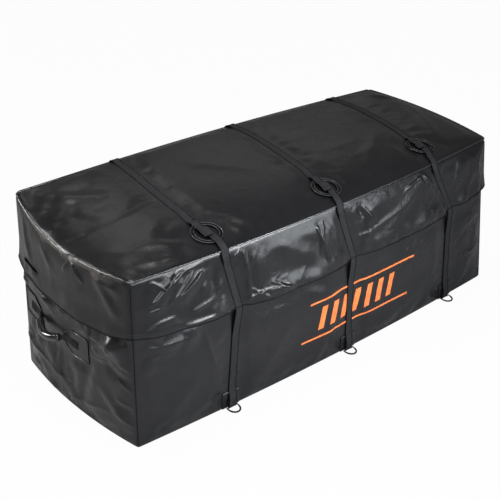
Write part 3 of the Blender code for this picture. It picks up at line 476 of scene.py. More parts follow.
def crumple(part, wall, s, t, raw):
    """Height of the small folds that no list gives: broad waves, then nets of creases in patches."""
    if wall == "bottom":
        return 0.0
    drape = Vector((raw.x, raw.y, raw.z * (0.45 if wall != "top" else 1.0)))
    if part == "lid":
        if wall == "top":
            broad = 0.0035 * noise.noise(raw * 5.0 + Vector((3, 1, 0)))
            net = 0.0020 * creases(Vector((raw.x * 0.6, raw.y, 0.4)), 9.0, 2.0) * patches(raw, 3.1, 4.0)
            edge = smooth_step(0.16, 0.02, min(HALF_LENGTH - abs(s), HALF_WIDTH - abs(t)))
            return broad + net + edge * 0.0028 * creases(raw, 17.0, 7.0) * patches(raw, 6.0, 2.0)
        broad = 0.0050 * noise.noise(drape * 7.0 + Vector((0, 5, 1)))
        net = 0.0034 * creases(drape, 13.0, 1.0) * patches(raw, 4.5, 1.3, -0.15, 0.30)
        fine = 0.0014 * creases(drape, 31.0, 9.0) * patches(raw, 8.0, 6.1, -0.10, 0.30)
        hem = smooth_step(0.07, 0.0, t - SKIRT_HEM)
        wave = hem * 0.0045 * noise.noise(Vector((raw.x, raw.y, 0)) * 22.0)
        return (broad + net + fine) * (CALM_END if wall == "left" else 1.0) + wave
    broad = 0.0048 * noise.noise(raw * 5.5 + Vector((9, 2, 0)))
    end = wall in ENDS
    net = (0.0036 if end else 0.0020) * creases(raw, 8.0, 3.0) * patches(raw, 4.0, 8.3, -0.2, 0.35)
    corner = smooth_step(0.09, 0.01, (HALF_WIDTH if end else HALF_LENGTH) - abs(s))
    small = 0.0016 * creases(Vector((raw.x, raw.y, raw.z * 2.0)), 15.0, 5.0) * corner
    low = smooth_step(0.10, 0.01, t) * 0.0022 * creases(raw, 14.0, 6.0)
    return broad + net + small + low


def calm_right(s):
    """The folds of the front fade towards its right end."""
    return 1 - CALM_RIGHT * smooth_step(0.48, 0.62, s)


def billow(wall, s, t):
    """How far the skirt leans out at its hem between the straps."""
    if wall in ENDS:
        return 0.0
    ends = smooth_step(0.04, 0.36, HALF_LENGTH - abs(s))
    clear = smooth_step(0.02, 0.13, strap_distance(wall, s, t))
    return BILLOW * ends * clear * smooth_step(RAW_TOP - 0.015, SKIRT_HEM + 0.02, t)


def wall_point(wall, s, t, proud, part=None):
    """A point on the bag: s and t on the wall, proud of the tub's cloth, wrinkled if part is given."""
    raw = raw_point(wall, s, t)
    core, direction = rounded(raw)
    relief = 0.0
    if part:
        folds = LID_FOLDS if part == "lid" else TUB_FOLDS
        relief = fold_height(folds, wall, s, t) * 0.9 + crumple(part, wall, s, t, raw)
        free = pressed_free(wall, s, t)
        relief *= free * seam_free(wall, s, t) * (calm_right(s) if wall == "front" else 1.0)
        if part == "lid" and wall != "top":
            relief += HEM_FLARE * free * smooth_step(0.0, HEM_FLARE_DEPTH, SKIRT_HEM + HEM_FLARE_DEPTH - t)
            relief += billow(wall, s, t)
        if part == "tub" and t > ZIP_HEIGHT - 0.045:
            relief *= smooth_step(ZIP_HEIGHT - 0.018, ZIP_HEIGHT - 0.045, t)
    return swollen(core + direction * (EDGE_RADIUS + proud + relief))


def lines(low, high, step, edge_low=True, edge_high=True):
    """Grid lines from low to high, closer over each rounded edge."""
    values = []
    start = low + (EDGE_RADIUS if edge_low else 0.0)
    stop = high - (EDGE_RADIUS if edge_high else 0.0)
    if edge_low:
        values += [blend(low, start, i / EDGE_STEPS) for i in range(EDGE_STEPS)]
    count = max(1, round((stop - start) / step))
    values += [blend(start, stop, i / count) for i in range(count)]
    if edge_high:
        values += [blend(stop, high, i / EDGE_STEPS) for i in range(EDGE_STEPS)]
    return values + [high]


def around(step):
    """Walls and s values once round the bag, anticlockwise from above."""
    loop = []
    for wall in AROUND:
        values = lines(-half_span(wall), half_span(wall), step)
        if wall in ("back", "left"):
            values = list(reversed(values))
        loop += [(wall, s) for s in values[:-1]]
    return loop


# Meshes


def mesh_object(name, points, faces, uvs=None):
    """An object from points and faces, with the UV in metres of each point where given."""
    mesh = bpy.data.meshes.new(name)
    mesh.from_pydata([tuple(p) for p in points], [], faces)
    if uvs:
        layer = mesh.uv_layers.new(name="metres")
        for loop in mesh.loops:
            layer.data[loop.index].uv = uvs[loop.vertex_index]
    mesh.validate()
    mesh.shade_smooth()
    thing = bpy.data.objects.new(name, mesh)
    bpy.context.scene.collection.objects.link(thing)
    return thing


def grid_faces(columns, rows, closed=False, start=0):
    """Faces of a grid whose points run column by column within each row."""
    faces = []
    width = columns if closed else columns - 1
    for row in range(rows - 1):
        for column in range(width):
            a = start + row * columns + column
            b = start + row * columns + (column + 1) % columns
            faces.append((a, b, b + columns, a + columns))
    return faces


def sheet(name, rows, uvs=None):
    """One skin through rows of points."""
    points = [point for row in rows for point in row]
    return mesh_object(name, points, grid_faces(len(rows[0]), len(rows)), uvs)


def finish(thing, material, *nodes, slot, body="bag"):
    """Give a piece its material, hide the solids of the nodes that it stands for, and attach it to the body
    that it rides on.
    """
    thing.data.materials.append(material)
    if nodes:
        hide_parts(*nodes)
    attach(thing, body)
    return thing


def add_thickness(thing, thickness):
    """Thicken a sheet away from the bag."""
    shell = thing.modifiers.new("thickness", "SOLIDIFY")
    shell.thickness = thickness
    shell.offset = 1
    shell.use_even_offset = False


def tube(name, path, radius, sides=12, closed=False, scale=None):
    """A round tube along a path of points, capped at its ends unless it is closed."""
    count = len(path)
    points = []
    previous = None
    for i, place in enumerate(path):
        if closed:
            tangent = path[(i + 1) % count] - path[i - 1]
        else:
            tangent = path[min(i + 1, count - 1)] - path[max(i - 1, 0)]
        tangent = tangent.normalized()
        side = previous if previous else tangent.orthogonal()
        side = (side - tangent * side.dot(tangent)).normalized()
        previous = side
        other = tangent.cross(side)
        size = radius * (scale(i / (count - 1)) if scale else 1.0)
        for j in range(sides):
            angle = 2 * math.pi * j / sides
            points.append(place + (side * math.cos(angle) + other * math.sin(angle)) * size)
    faces = grid_faces(sides, count, closed=True)
    if closed:
        last = (count - 1) * sides
        faces += [
            (last + j, last + (j + 1) % sides, (j + 1) % sides, j) for j in range(sides)
        ]
    else:
        faces.append(tuple(reversed(range(sides))))
        faces.append(tuple((count - 1) * sides + j for j in range(sides)))
    return mesh_object(name, points, faces)


# Materials


def new_material(name):
    made = bpy.data.materials.new(name)
    made.use_nodes = True
    nodes = made.node_tree.nodes
    return made, nodes, made.node_tree.links, nodes["Principled BSDF"]


def set_inputs(node, values):
    for key, value in values.items():
        node.inputs[key].default_value = value


def texture(nodes, links, kind, coordinates, **settings):
    node = nodes.new(f"ShaderNodeTex{kind}")
    for key, value in settings.items():
        if key in node.inputs:
            node.inputs[key].default_value = value
        else:
            setattr(node, key, value)
    links.new(coordinates, node.inputs["Vector"])
    return node


def ramp(nodes, links, source, stops):
    node = nodes.new("ShaderNodeValToRGB")
    elements = node.color_ramp.elements
    while len(elements) < len(stops):
        elements.new(0.5)
    for element, (position, color) in zip(elements, stops):
        element.position = position
        element.color = (*color, 1.0)
    links.new(source, node.inputs["Fac"])
    return node.outputs["Color"]


def map_range(nodes, links, source, low, high, to_low, to_high):
    node = nodes.new("ShaderNodeMapRange")
    set_inputs(node, {"From Min": low, "From Max": high, "To Min": to_low, "To Max": to_high})
    links.new(source, node.inputs["Value"])
    return node.outputs["Result"]


def bump(nodes, links, height, strength, distance, normal=None):
    node = nodes.new("ShaderNodeBump")
    set_inputs(node, {"Strength": strength, "Distance": distance})
    links.new(height, node.inputs["Height"])
    if normal:
        links.new(normal, node.inputs["Normal"])
    return node.outputs["Normal"]


def tarpaulin(name, dark, light, roughness, specular=0.40):
    """Coated cloth: semi-gloss skin over a fine scrim, rubbed a little paler in patches."""
    made, nodes, links, shader = new_material(name)
    place = nodes.new("ShaderNodeTexCoord").outputs["Object"]
    cloud = texture(nodes, links, "Noise", place, Scale=3.5, Detail=6.0, Roughness=0.6)
    color = ramp(nodes, links, cloud.outputs["Fac"], ((0.3, dark), (0.7, light)))
    links.new(color, shader.inputs["Base Color"])
    rub = texture(nodes, links, "Noise", place, Scale=9.0, Detail=3.0, Roughness=0.5)
    rough = map_range(nodes, links, rub.outputs["Fac"], 0.3, 0.7, roughness - 0.03, roughness + 0.06)
    links.new(rough, shader.inputs["Roughness"])
    wrinkle = texture(nodes, links, "Noise", place, Scale=26.0, Detail=5.0, Roughness=0.55)
    skin = texture(nodes, links, "Noise", place, Scale=420.0, Detail=2.0)
    weave = texture(nodes, links, "Brick", place, Scale=1.0)
    set_inputs(weave, {
        "Brick Width": 0.0016, "Row Height": 0.0016, "Mortar Size": 0.0003, "Mortar Smooth": 1.0,
    })
    weave.offset = 0.0
    soft = bump(nodes, links, wrinkle.outputs["Fac"], 0.10, 0.010)
    grain = bump(nodes, links, skin.outputs["Fac"], 0.10, 0.0006, soft)
    scrim = bump(nodes, links, weave.outputs["Fac"], 0.12, 0.0004, grain)
    links.new(scrim, shader.inputs["Normal"])
    shader.inputs["Specular IOR Level"].default_value = specular
    return made


def color_mix(nodes, a=None, b=None):
    """A mix of two colors; one that isn't given is linked later."""
    mix = nodes.new("ShaderNodeMix")
    mix.data_type = "RGBA"
    for socket, color in (("A", a), ("B", b)):
        if color:
            mix.inputs[socket].default_value = (*color, 1.0)
    return mix


def webbing(name, color, pale):
    """Woven strap: ribs across it, a fine twill along it and painted shade darkening it along both edges,
    from UV in metres.
    """
    made, nodes, links, shader = new_material(name)
    place = nodes.new("ShaderNodeTexCoord").outputs["UV"]
    split = nodes.new("ShaderNodeSeparateXYZ")
    links.new(place, split.inputs["Vector"])
    ribs = texture(nodes, links, "Wave", place, Scale=420.0, Distortion=0.6, Detail=1.0)
    ribs.bands_direction = "Y"
    warp = texture(nodes, links, "Wave", place, Scale=250.0, Distortion=0.3)
    warp.bands_direction = "X"
    dust = texture(nodes, links, "Noise", place, Scale=60.0, Detail=4.0)
    mix = color_mix(nodes, color, pale)
    links.new(map_range(nodes, links, dust.outputs["Fac"], 0.35, 0.7, 0.1, 1.0), mix.inputs["Factor"])
    # Painted shade: the colour darkens towards both edges of the webbing, standing in for the shadow that the
    # strap casts on the cloth
    edge_shade = nodes.new("ShaderNodeMath")
    edge_shade.operation = "PINGPONG"
    edge_shade.inputs[1].default_value = WEB_WIDTH / 2
    links.new(split.outputs["X"], edge_shade.inputs[0])
    edge = color_mix(nodes, [c * 0.45 for c in color])
    inside = map_range(nodes, links, edge_shade.outputs["Value"], 0.0004, 0.0024, 0.0, 1.0)
    links.new(inside, edge.inputs["Factor"])
    links.new(mix.outputs["Result"], edge.inputs["B"])
    links.new(edge.outputs["Result"], shader.inputs["Base Color"])
    first = bump(nodes, links, ribs.outputs["Fac"], 0.35, 0.0005)
    links.new(bump(nodes, links, warp.outputs["Fac"], 0.20, 0.0003, first), shader.inputs["Normal"])
    set_inputs(shader, {"Roughness": 0.66, "Specular IOR Level": 0.22})
    return made


def moulded(name, color, roughness, metallic=0.0, coat=0.0, specular=0.5):
    """Moulded plastic, rubber or enamelled wire with a faint uneven skin."""
    made, nodes, links, shader = new_material(name)
    place = nodes.new("ShaderNodeTexCoord").outputs["Object"]
    cloud = texture(nodes, links, "Noise", place, Scale=60.0, Detail=4.0)
    pale = tuple(c * 1.6 + 0.002 for c in color)
    mottle = ramp(nodes, links, cloud.outputs["Fac"], ((0.35, color), (0.75, pale)))
    links.new(mottle, shader.inputs["Base Color"])
    rough = map_range(nodes, links, cloud.outputs["Fac"], 0.3, 0.7, roughness * 0.85, roughness * 1.2)
    links.new(rough, shader.inputs["Roughness"])
    skin = texture(nodes, links, "Noise", place, Scale=900.0, Detail=2.0)
    links.new(bump(nodes, links, skin.outputs["Fac"], 0.12, 0.0003), shader.inputs["Normal"])
    set_inputs(shader, {"Metallic": metallic, "Coat Weight": coat, "Specular IOR Level": specular})
    return made


TUB_CLOTH = tarpaulin("tub_tarpaulin", (0.005, 0.005, 0.0058), (0.009, 0.009, 0.0105), 0.25)
LID_CLOTH = tarpaulin("lid_tarpaulin", (0.005, 0.005, 0.0055), (0.009, 0.009, 0.010), 0.245)
# The same tarpaulin made paler and glossier for the piping and the patches' rolled edges; the paler colour is
# a painted highlight along those edges
PIPING_HIGHLIGHT_SKIN = tarpaulin("piping_highlight_skin", (0.010, 0.010, 0.011), (0.016, 0.016, 0.018), 0.20, 0.9)
STRAP_WEB = webbing("strap_webbing", (0.011, 0.011, 0.012), (0.019, 0.019, 0.021))
HANDLE_WEB = webbing("handle_webbing", (0.010, 0.010, 0.011), (0.018, 0.018, 0.020))
TAPE_WEB = webbing("zip_tape_weave", (0.020, 0.020, 0.022), (0.030, 0.030, 0.032))
# Near-black matt stuff for the corner welts, the hem roll, the box seams and the lines along the straps'
# edges and the fold's end; except on the box seams its darkness is painted shade of the seam grooves, the
# line under the hem and the straps' shadows
WELT_AND_SHADE_LINE = moulded("welt_and_shade_line", (0.003, 0.003, 0.0034), 0.55, specular=0.12)
THREAD = moulded("thread", (0.030, 0.030, 0.032), 0.6)
BLACK_MOULDING = moulded("ring_moulding", (0.002, 0.002, 0.0022), 0.34, specular=0.12)
# Paler than the ring's black body: the colour of the rim beads is a painted highlight
RIM_HIGHLIGHT = moulded("ring_rim_highlight", (0.035, 0.035, 0.037), 0.25, specular=0.9)
BLACK_WIRE = moulded("enamelled_wire", (0.003, 0.003, 0.0032), 0.45, specular=0.12)
GRIP_SKIN = moulded("grip_rubber", (0.008, 0.008, 0.009), 0.16, coat=0.5)
ZIP_ENAMEL = moulded("zip_enamel", (0.012, 0.012, 0.013), 0.30, metallic=0.5)
PRINT_ORANGE = moulded("orange_print", (0.72, 0.16, 0.035), 0.42)


# Cloth shells: a grid over each wall, settled by simulation, then subdivided and crumpled finely


def hem_height(wall, s, t):
    """Height on the skirt, whose hem rises towards the corners."""
    middle = SKIRT_END_RISE if wall in ENDS else 0.0
    rise = blend(middle, SKIRT_CORNER_RISE, abs(s / half_span(wall)) ** 4)
    return RAW_TOP - (RAW_TOP - t) * (1 - rise / (RAW_TOP - SKIRT_HEM))


def shell_mesh(name, sheets, proud, part):
    """One skin over several walls. Each sheet is (wall, s lines, t lines); the UV codes the wall too."""
    index, places, faces, corners = {}, [], [], []

    def vertex(wall, s, t):
        key = tuple(round(value, 4) for value in raw_point(wall, s, t))
        if key not in index:
            index[key] = len(places)
            places.append((wall, s, t))
        return index[key]

    for wall, s_lines, t_lines in sheets:
        rows = [[vertex(wall, s, t) for s in s_lines] for t in t_lines]
        code = WALL_CODES.index(wall) * CODE_STEP
        for low, high, t0, t1 in zip(rows, rows[1:], t_lines, t_lines[1:]):
            for i in range(len(s_lines) - 1):
                face = (low[i], low[i + 1], high[i + 1], high[i])
                s0, s1 = s_lines[i] + code, s_lines[i + 1] + code
                loop = ((s0, t0), (s1, t0), (s1, t1), (s0, t1))
                outward = wall in ("front", "right", "top")
                faces.append(face if outward else face[::-1])
                corners += loop if outward else loop[::-1]
    points = []
    for wall, s, t in places:
        height = hem_height(wall, s, t) if part == "lid" and wall != "top" else t
        points.append(wall_point(wall, s, height, proud, part))
    shell = mesh_object(name, points, faces)
    layer = shell.data.uv_layers.new(name="metres")
    for loop, place in zip(layer.data, corners):
        loop.uv = place
    return shell, places


def edge_hold(wall, s, t, part):
    """How firmly the cloth is held at a point: sewn edges and strapped places firmly, the rest barely."""
    held = 1 - pressed_free(wall, s, t)
    if part == "tub" and (wall == "bottom" or t < 0.012 or t > ZIP_HEIGHT - 0.030):
        return 1.0
    seam = 0.55 * smooth_step(0.012, 0.002, edge_distance(wall, s, t))
    return max(held, seam, 0.006)


def looseness(wall, s, t, part):
    """How much of its settling the cloth keeps: little at the seams, none under the skirt."""
    share = LOOSENESS[part, wall]
    if part == "tub":
        share *= 1 - smooth_step(SKIRT_HEM - 0.100, SKIRT_HEM - 0.030, t)
    return share * pressed_free(wall, s, t) * seam_free(wall, s, t, 0.045)


def settle(shell, holds, shares):
    """Let a shell that is cut a little too large buckle under the load, and cap how far it moves."""
    start = [vertex.co.copy() for vertex in shell.data.vertices]
    group = shell.vertex_groups.new(name="held")
    for i, hold in enumerate(holds):
        group.add([i], hold, "REPLACE")
    cloth = shell.modifiers.new("cloth", "CLOTH")
    fabric = cloth.settings
    fabric.quality = 6
    fabric.mass = 0.25
    fabric.tension_stiffness = 30
    fabric.compression_stiffness = 30
    fabric.shear_stiffness = 18
    fabric.bending_stiffness = 0.12
    fabric.air_damping = 2.0
    fabric.use_pressure = True
    fabric.uniform_pressure_force = SETTLE_PRESSURE
    fabric.shrink_min = -SETTLE_GROWTH
    fabric.vertex_group_mass = "held"
    fabric.pin_stiffness = 1.0
    fabric.effector_weights.gravity = 0.0
    cloth.collision_settings.use_collision = False
    cloth.point_cache.frame_start = 1
    cloth.point_cache.frame_end = SETTLE_FRAMES
    scene = bpy.context.scene
    for number in range(1, SETTLE_FRAMES + 1):
        scene.frame_set(number)
    solved = shell.evaluated_get(bpy.context.evaluated_depsgraph_get())
    moved = [vertex.co.copy() for vertex in solved.data.vertices]
    shell.modifiers.remove(cloth)
    scene.frame_set(1)
    for vertex, old, new, share in zip(shell.data.vertices, start, moved, shares):
        step = new - old
        if step.length > SETTLE_CAP:
            step *= SETTLE_CAP / step.length
        vertex.co = old + step * share


def surface_tree(shell):
    points = [vertex.co for vertex in shell.data.vertices]
    return BVHTree.FromPolygons(points, [tuple(face.vertices) for face in shell.data.polygons])


def subdivided(shell):
    """Apply one subdivision to the mesh itself."""
    smooth = shell.modifiers.new("smooth", "SUBSURF")
    smooth.levels = 1
    smooth.render_levels = 1
    solved = shell.evaluated_get(bpy.context.evaluated_depsgraph_get())
    mesh = bpy.data.meshes.new_from_object(solved)
    shell.modifiers.remove(smooth)
    shell.data = mesh
    mesh.shade_smooth()


def refined(shell, spans):
    """Cut the faces of each listed wall once more, between two heights on it, and smooth them."""
    bm = bmesh.new()
    bm.from_mesh(shell.data)
    layer = bm.loops.layers.uv.active
    edges = set()
    for face in bm.faces:
        u, t = sum((loop[layer].uv for loop in face.loops), Vector((0.0, 0.0))) / len(face.loops)
        low, high = spans.get(WALL_CODES[round(u / CODE_STEP)], (1.0, 0.0))
        if low < t < high:
            edges.update(face.edges)
    ordered = sorted(edges, key=lambda edge: edge.index)
    made = bmesh.ops.subdivide_edges(bm, edges=ordered, cuts=1, use_grid_fill=True)
    fresh = [item for item in made["geom_inner"] if isinstance(item, bmesh.types.BMVert)]
    bmesh.ops.smooth_vert(bm, verts=fresh, factor=0.5, use_axis_x=True, use_axis_y=True, use_axis_z=True)
    bm.to_mesh(shell.data)
    bm.free()


def crease_shell(shell, part):
    """Press the listed creases and patches of fine ones into the cloth, along its normals."""
    listed = LID_CREASES if part == "lid" else TUB_CREASES
    layer = shell.data.uv_layers["metres"].data
    where = {}
    for loop in shell.data.loops:
        u, t = layer[loop.index].uv
        code = round(u / CODE_STEP)
        where[loop.vertex_index] = (WALL_CODES[code], u - code * CODE_STEP, t)
    normals = [vertex.normal.copy() for vertex in shell.data.vertices]
    for vertex, normal in zip(shell.data.vertices, normals):
        wall, s, t = where[vertex.index]
        if wall == "bottom":
            continue
        place = vertex.co
        sharp = fold_height(listed, wall, s, t)
        stretched = Vector((place.x, place.y, place.z * (0.7 if part == "lid" else 1.6)))
        net = creases(stretched, 24.0, 3.0) * patches(place, 6.0, 5.0, -0.10, 0.30)
        fine = 0.5 * creases(place, 47.0, 8.0) * patches(place, 9.0, 2.0, -0.05, 0.30)
        calm = FINE_SHARES.get((part, wall), 1.0)
        free = pressed_free(wall, s, t) * seam_free(wall, s, t)
        slack = slackness(part, wall, s, t) * max(0.0, noise.noise(place * 15.0 + Vector((4, 0, 2))) + 0.1)
        vertex.co = place + normal * free * (sharp + slack + FINE_HEIGHT[part] * calm * (net + fine))
    for loop in shell.data.loops:
        layer[loop.index].uv = where[loop.vertex_index][1:]
    shell.data.update()


def slackness(part, wall, s, t):
    """Height of the soft bulges: on the tub below the hem, along the hem and at one corner of the lid."""
    if part == "tub":
        share = smooth_step(0.235, 0.300, t)
        return share * (0.028 if wall == "left" else 0.026 * smooth_step(-0.45, -0.65, s))
    if wall == "top":
        return 0.010 * smooth_step(0.16, 0.05, math.hypot(s + 0.67, (t - 0.14) * 0.8))
    if wall == "left":
        return 0.0015
    return 0.007 * smooth_step(0.06, 0.01, t - SKIRT_HEM)


def make_shell(part, material, proud, cap, heights, fine_spans, kind, slot):
    """A shell of the tub or of the lid: its four walls, and the bottom or the top as its cap."""
    across = lines(-HALF_WIDTH, HALF_WIDTH, SHELL_STEP)
    sheets = []
    for wall in (*AROUND, cap):
        along = lines(-half_span(wall), half_span(wall), SHELL_STEP)
        sheets.append((wall, along, across if wall == cap else heights))
    shell, places = shell_mesh(f"{part}_shell", sheets, proud, part)
    holds = [edge_hold(wall, s, t, part) for wall, s, t in places]
    shares = [looseness(wall, s, t, part) for wall, s, t in places]
    settle(shell, holds, shares)
    subdivided(shell)
    refined(shell, fine_spans)
    crease_shell(shell, part)
    nodes = [f"{part}_{wall}_{kind}" for wall in ("front", "back", "left", "right")]
    return finish(shell, material, *nodes, f"{part}_{cap}_panel", slot=slot)


def make_tub_shell():
    heights = lines(0.0, ZIP_HEIGHT, SHELL_STEP, edge_high=False)
    return make_shell("tub", TUB_CLOTH, 0.0, "bottom", heights, TUB_FINE_SPANS, "panel", "tarpaulin")


def make_lid_shell():
    heights = lines(SKIRT_HEM, RAW_TOP, SHELL_STEP, edge_low=False)
    return make_shell("lid", LID_CLOTH, SKIRT_PROUD, "top", heights, LID_FINE_SPANS, "skirt", "lid_tarpaulin")


# Seams


def rim_path(shell):
    """The open edge of a shell, as points in order round it."""
    bm = bmesh.new()
    bm.from_mesh(shell.data)
    rim = [edge for edge in bm.edges if edge.is_boundary]
    start = min(rim, key=lambda edge: edge.index)
    vertex, edge = start.verts[1], start
    path = [start.verts[0].co.copy()]
    while vertex != start.verts[0]:
        path.append(vertex.co.copy())
        edge = next(other for other in vertex.link_edges if other.is_boundary and other != edge)
        vertex = edge.other_vert(vertex)
    bm.free()
    return path


def make_hem(shell):
    """The rolled hem of the skirt, all the way round, near-black and matt as painted shade of the dark line
    under the hem, and two rows of stitching above it.
    """
    path = [point + Vector((0, 0, HEM_ROLL * 0.6)) for point in rim_path(shell)]
    finish(tube("lid_hem_roll_and_shade", path, HEM_ROLL, 8, closed=True), WELT_AND_SHADE_LINE, slot="lid_tarpaulin")
    tree = surface_tree(shell)
    for row, lift in enumerate(HEM_ROWS, 1):
        run = []
        for point in path[::2]:
            hit, normal = tree.find_nearest(point + Vector((0, 0, lift)))[:2]
            run.append(hit + normal * 0.0003)
        stitches(f"hem_stitching_{row}", run)


def make_piping():
    """The piping round the lid's top edge."""
    path = []
    for wall, s in around(0.008):
        place = wall_point(wall, s, RAW_TOP, SKIRT_PROUD + PIPING_RADIUS * 0.9)
        if wall == "left":
            for middle, reach, height in PIPING_WAVES:
                place.z += height * math.exp(-((s - middle) / reach) ** 2)
        path.append(place)
    # The piping's paler colour is a painted highlight along the lid's top edge
    piping = tube("lid_edge_piping", path, PIPING_RADIUS * PIPING_SWELL, 10, closed=True)
    finish(piping, PIPING_HIGHLIGHT_SKIN, "lid_top_piping", slot="lid_tarpaulin")


def make_corner_welts():
    """The sewn welt down each vertical corner, of the lid's skirt and of the tub below it, near-black as
    painted shade of the seam's groove.
    """
    for wall, end in (("front", -1), ("front", 1), ("back", -1), ("back", 1)):
        s = end * HALF_LENGTH
        side = "left" if end < 0 else "right"
        low = hem_height(wall, s, SKIRT_HEM)
        for part, bottom, top, proud, slot in (
            ("tub", WELT_MARGIN, low - WELT_MARGIN, 0.0, "tarpaulin"),
            ("lid", low, RAW_TOP - 0.006, SKIRT_PROUD, "lid_tarpaulin"),
        ):
            heights = stations(bottom, top, 0.012)
            path = [wall_point(wall, s, t, proud + CORNER_WELT * 0.2, part) for t in heights]
            welt = tube(f"{part}_corner_welt_{wall}_{side}", path, CORNER_WELT, 8)
            finish(welt, WELT_AND_SHADE_LINE, slot=slot)


# Straps and rings


def ring_seat(line):
    """The lid under a joining ring: its middle, front, rear, left and right."""
    x, ring_y = ring_place(line)
    sides = ((0, 0), (0, -1), (0, 1), (-1, 0), (1, 0))
    return [wall_point("top", x + a * RING_OUTER, ring_y + b * RING_OUTER, SKIRT_PROUD) for a, b in sides]


def ring_rise(line):
    """How far the flat ring's rim stands off the crowned lid where the straps cross it."""
    middle, front, rear = ring_seat(line)[:3]
    return (middle - (front + rear) / 2).length


def top_strap_proud(line, t, upper):
    away = abs(t - ring_place(line)[1])
    over = OVER_RING + ring_rise(line) * min(away / RING_OUTER, 1.0) ** 2
    hump = over * (1 - smooth_step(RING_OUTER + 0.004, RING_OUTER + 0.022, away))
    lap = (WEB_THICKNESS + STRAP_GAP) * (1 - smooth_step(RING_LAP, RING_LAP + 0.012, away)) if upper else 0.0
    edge = OVER_PIPING * smooth_step(HALF_WIDTH - 0.045, HALF_WIDTH - EDGE_RADIUS, abs(t))
    return STRAP_ON_TOP + max(hump, edge) + lap


def side_strap_proud(t):
    near_top = OVER_PIPING * smooth_step(RAW_TOP - 0.050, RAW_TOP - EDGE_RADIUS, t)
    on_tub = PATCH_PROUD + STRAP_GAP
    taut = blend(on_tub, STRAP_ON_TOP, smooth_step(SKIRT_HEM - 0.110, SKIRT_HEM - 0.004, t))
    at_foot = D_STANDOFF + D_WIRE + STRAP_GAP / 2
    foot = (at_foot - on_tub) * (1 - smooth_step(FOOT_RUN * 0.4, FOOT_RUN, t))
    return taut + near_top + foot


def strap_row(line, wall, t, proud, lateral, upper=False):
    x = lashing_x(line, wall, t)
    if wall == "top":
        near = 1 - smooth_step(RING_OUTER, RING_OUTER + 0.090, abs(t - ring_place(line)[1]))
        x += RING_SHIFT * near * (-1 if upper else 1)
    return [wall_point(wall, x + side * WEB_WIDTH / 2 * lateral, t, proud) for side in ACROSS]


def foot_axis(line, wall):
    x = lashing_x(line, wall, 0.0)
    place = wall_point(wall, x, FOOT_RUN * 0.4, D_STANDOFF)
    return Vector((place.x, place.y, D_AXIS_HEIGHT))


def foot_rows(line, wall, lateral):
    """Rows of the webbing that turns under the floor ring's bar and back up behind it."""
    axis = foot_axis(line, wall)
    outward = -1 if wall == "front" else 1
    radius = D_WIRE + STRAP_GAP / 2
    half = Vector((WEB_WIDTH / 2 * lateral, 0, 0))
    rows = []
    for i in range(FOOT_TURN_STEPS + 1):
        angle = math.pi * i / FOOT_TURN_STEPS
        point = axis + Vector((0, outward * radius * math.cos(angle), -radius * math.sin(angle)))
        rows.append([point + half * side for side in ACROSS])
    tail = axis + Vector((0, -outward * radius, FOOT_TAIL))
    rows.append([tail + half * side for side in ACROSS])
    return rows


def ribbon(name, rows, thickness=WEB_THICKNESS):
    """Webbing through rows of points across it, thickened away from the bag, with UV in metres."""
    uvs = []
    run = 0.0
    for i, row in enumerate(rows):
        if i:
            run += (row[2] - rows[i - 1][2]).length
        width = 0.0
        for j, point in enumerate(row):
            if j:
                width += (point - row[j - 1]).length
            uvs.append((width, run))
    band = sheet(name, rows, uvs)
    add_thickness(band, thickness)
    soften = band.modifiers.new("edges", "BEVEL")
    soften.width = 0.0005
    soften.segments = 2
    soften.limit_method = "ANGLE"
    soften.angle_limit = math.radians(60)
    return band


def stations(start, stop, step=0.008):
    count = max(2, round(abs(stop - start) / step))
    return [blend(start, stop, i / count) for i in range(count + 1)]


def make_strap(line, wall, lateral, upper):
    ring_y = ring_place(line)[1]
    direction = -1 if wall == "front" else 1
    start = ring_y - direction * RING_LAP
    rows = [
        strap_row(line, "top", t, top_strap_proud(line, t, upper), lateral, upper)
        for t in stations(start, direction * HALF_WIDTH, STRAP_STEP)
    ]
    rows += [
        strap_row(line, wall, t, side_strap_proud(t), lateral)
        for t in stations(RAW_TOP, FOOT_RUN * 0.28, STRAP_STEP)[1:]
    ]
    rows += foot_rows(line, wall, lateral)
    name = "strap_front" if wall == "front" else "strap_top"
    finish(ribbon(f"{name}_{line}_webbing", rows), STRAP_WEB, f"{name}_{line}", slot="webbing")
    # A near-black line along each edge of the strap: painted shadow of the webbing on the cloth
    for side, end in (("a", 0), ("b", -1)):
        edge = [row[end] for row in rows]
        finish(tube(f"{name}_{line}_selvedge_{side}", edge, SHADOW_LINE_RADIUS, 6), WELT_AND_SHADE_LINE, slot="webbing")
    if upper:
        make_fold(line, lateral)


def make_fold(line, lateral):
    """The square of webbing folded and sewn at the end of the back strap, over the ring's middle."""
    ring_y = ring_place(line)[1]
    proud = top_strap_proud(line, ring_y, True) + WEB_THICKNESS + 0.0003
    rows = [
        strap_row(line, "top", ring_y + t, proud, lateral * FOLD_WIDTH, True)
        for t in stations(FOLD_REACH[1], FOLD_REACH[0], 0.004)
    ]
    finish(ribbon(f"strap_top_{line}_fold", rows, FOLD_THICKNESS), STRAP_WEB, slot="webbing")
    # A near-black line along the fold's front end: painted shadow under the fold
    finish(tube(f"strap_top_{line}_fold_shadow_line", rows[-1], SHADOW_LINE_RADIUS, 6), WELT_AND_SHADE_LINE, slot="webbing")


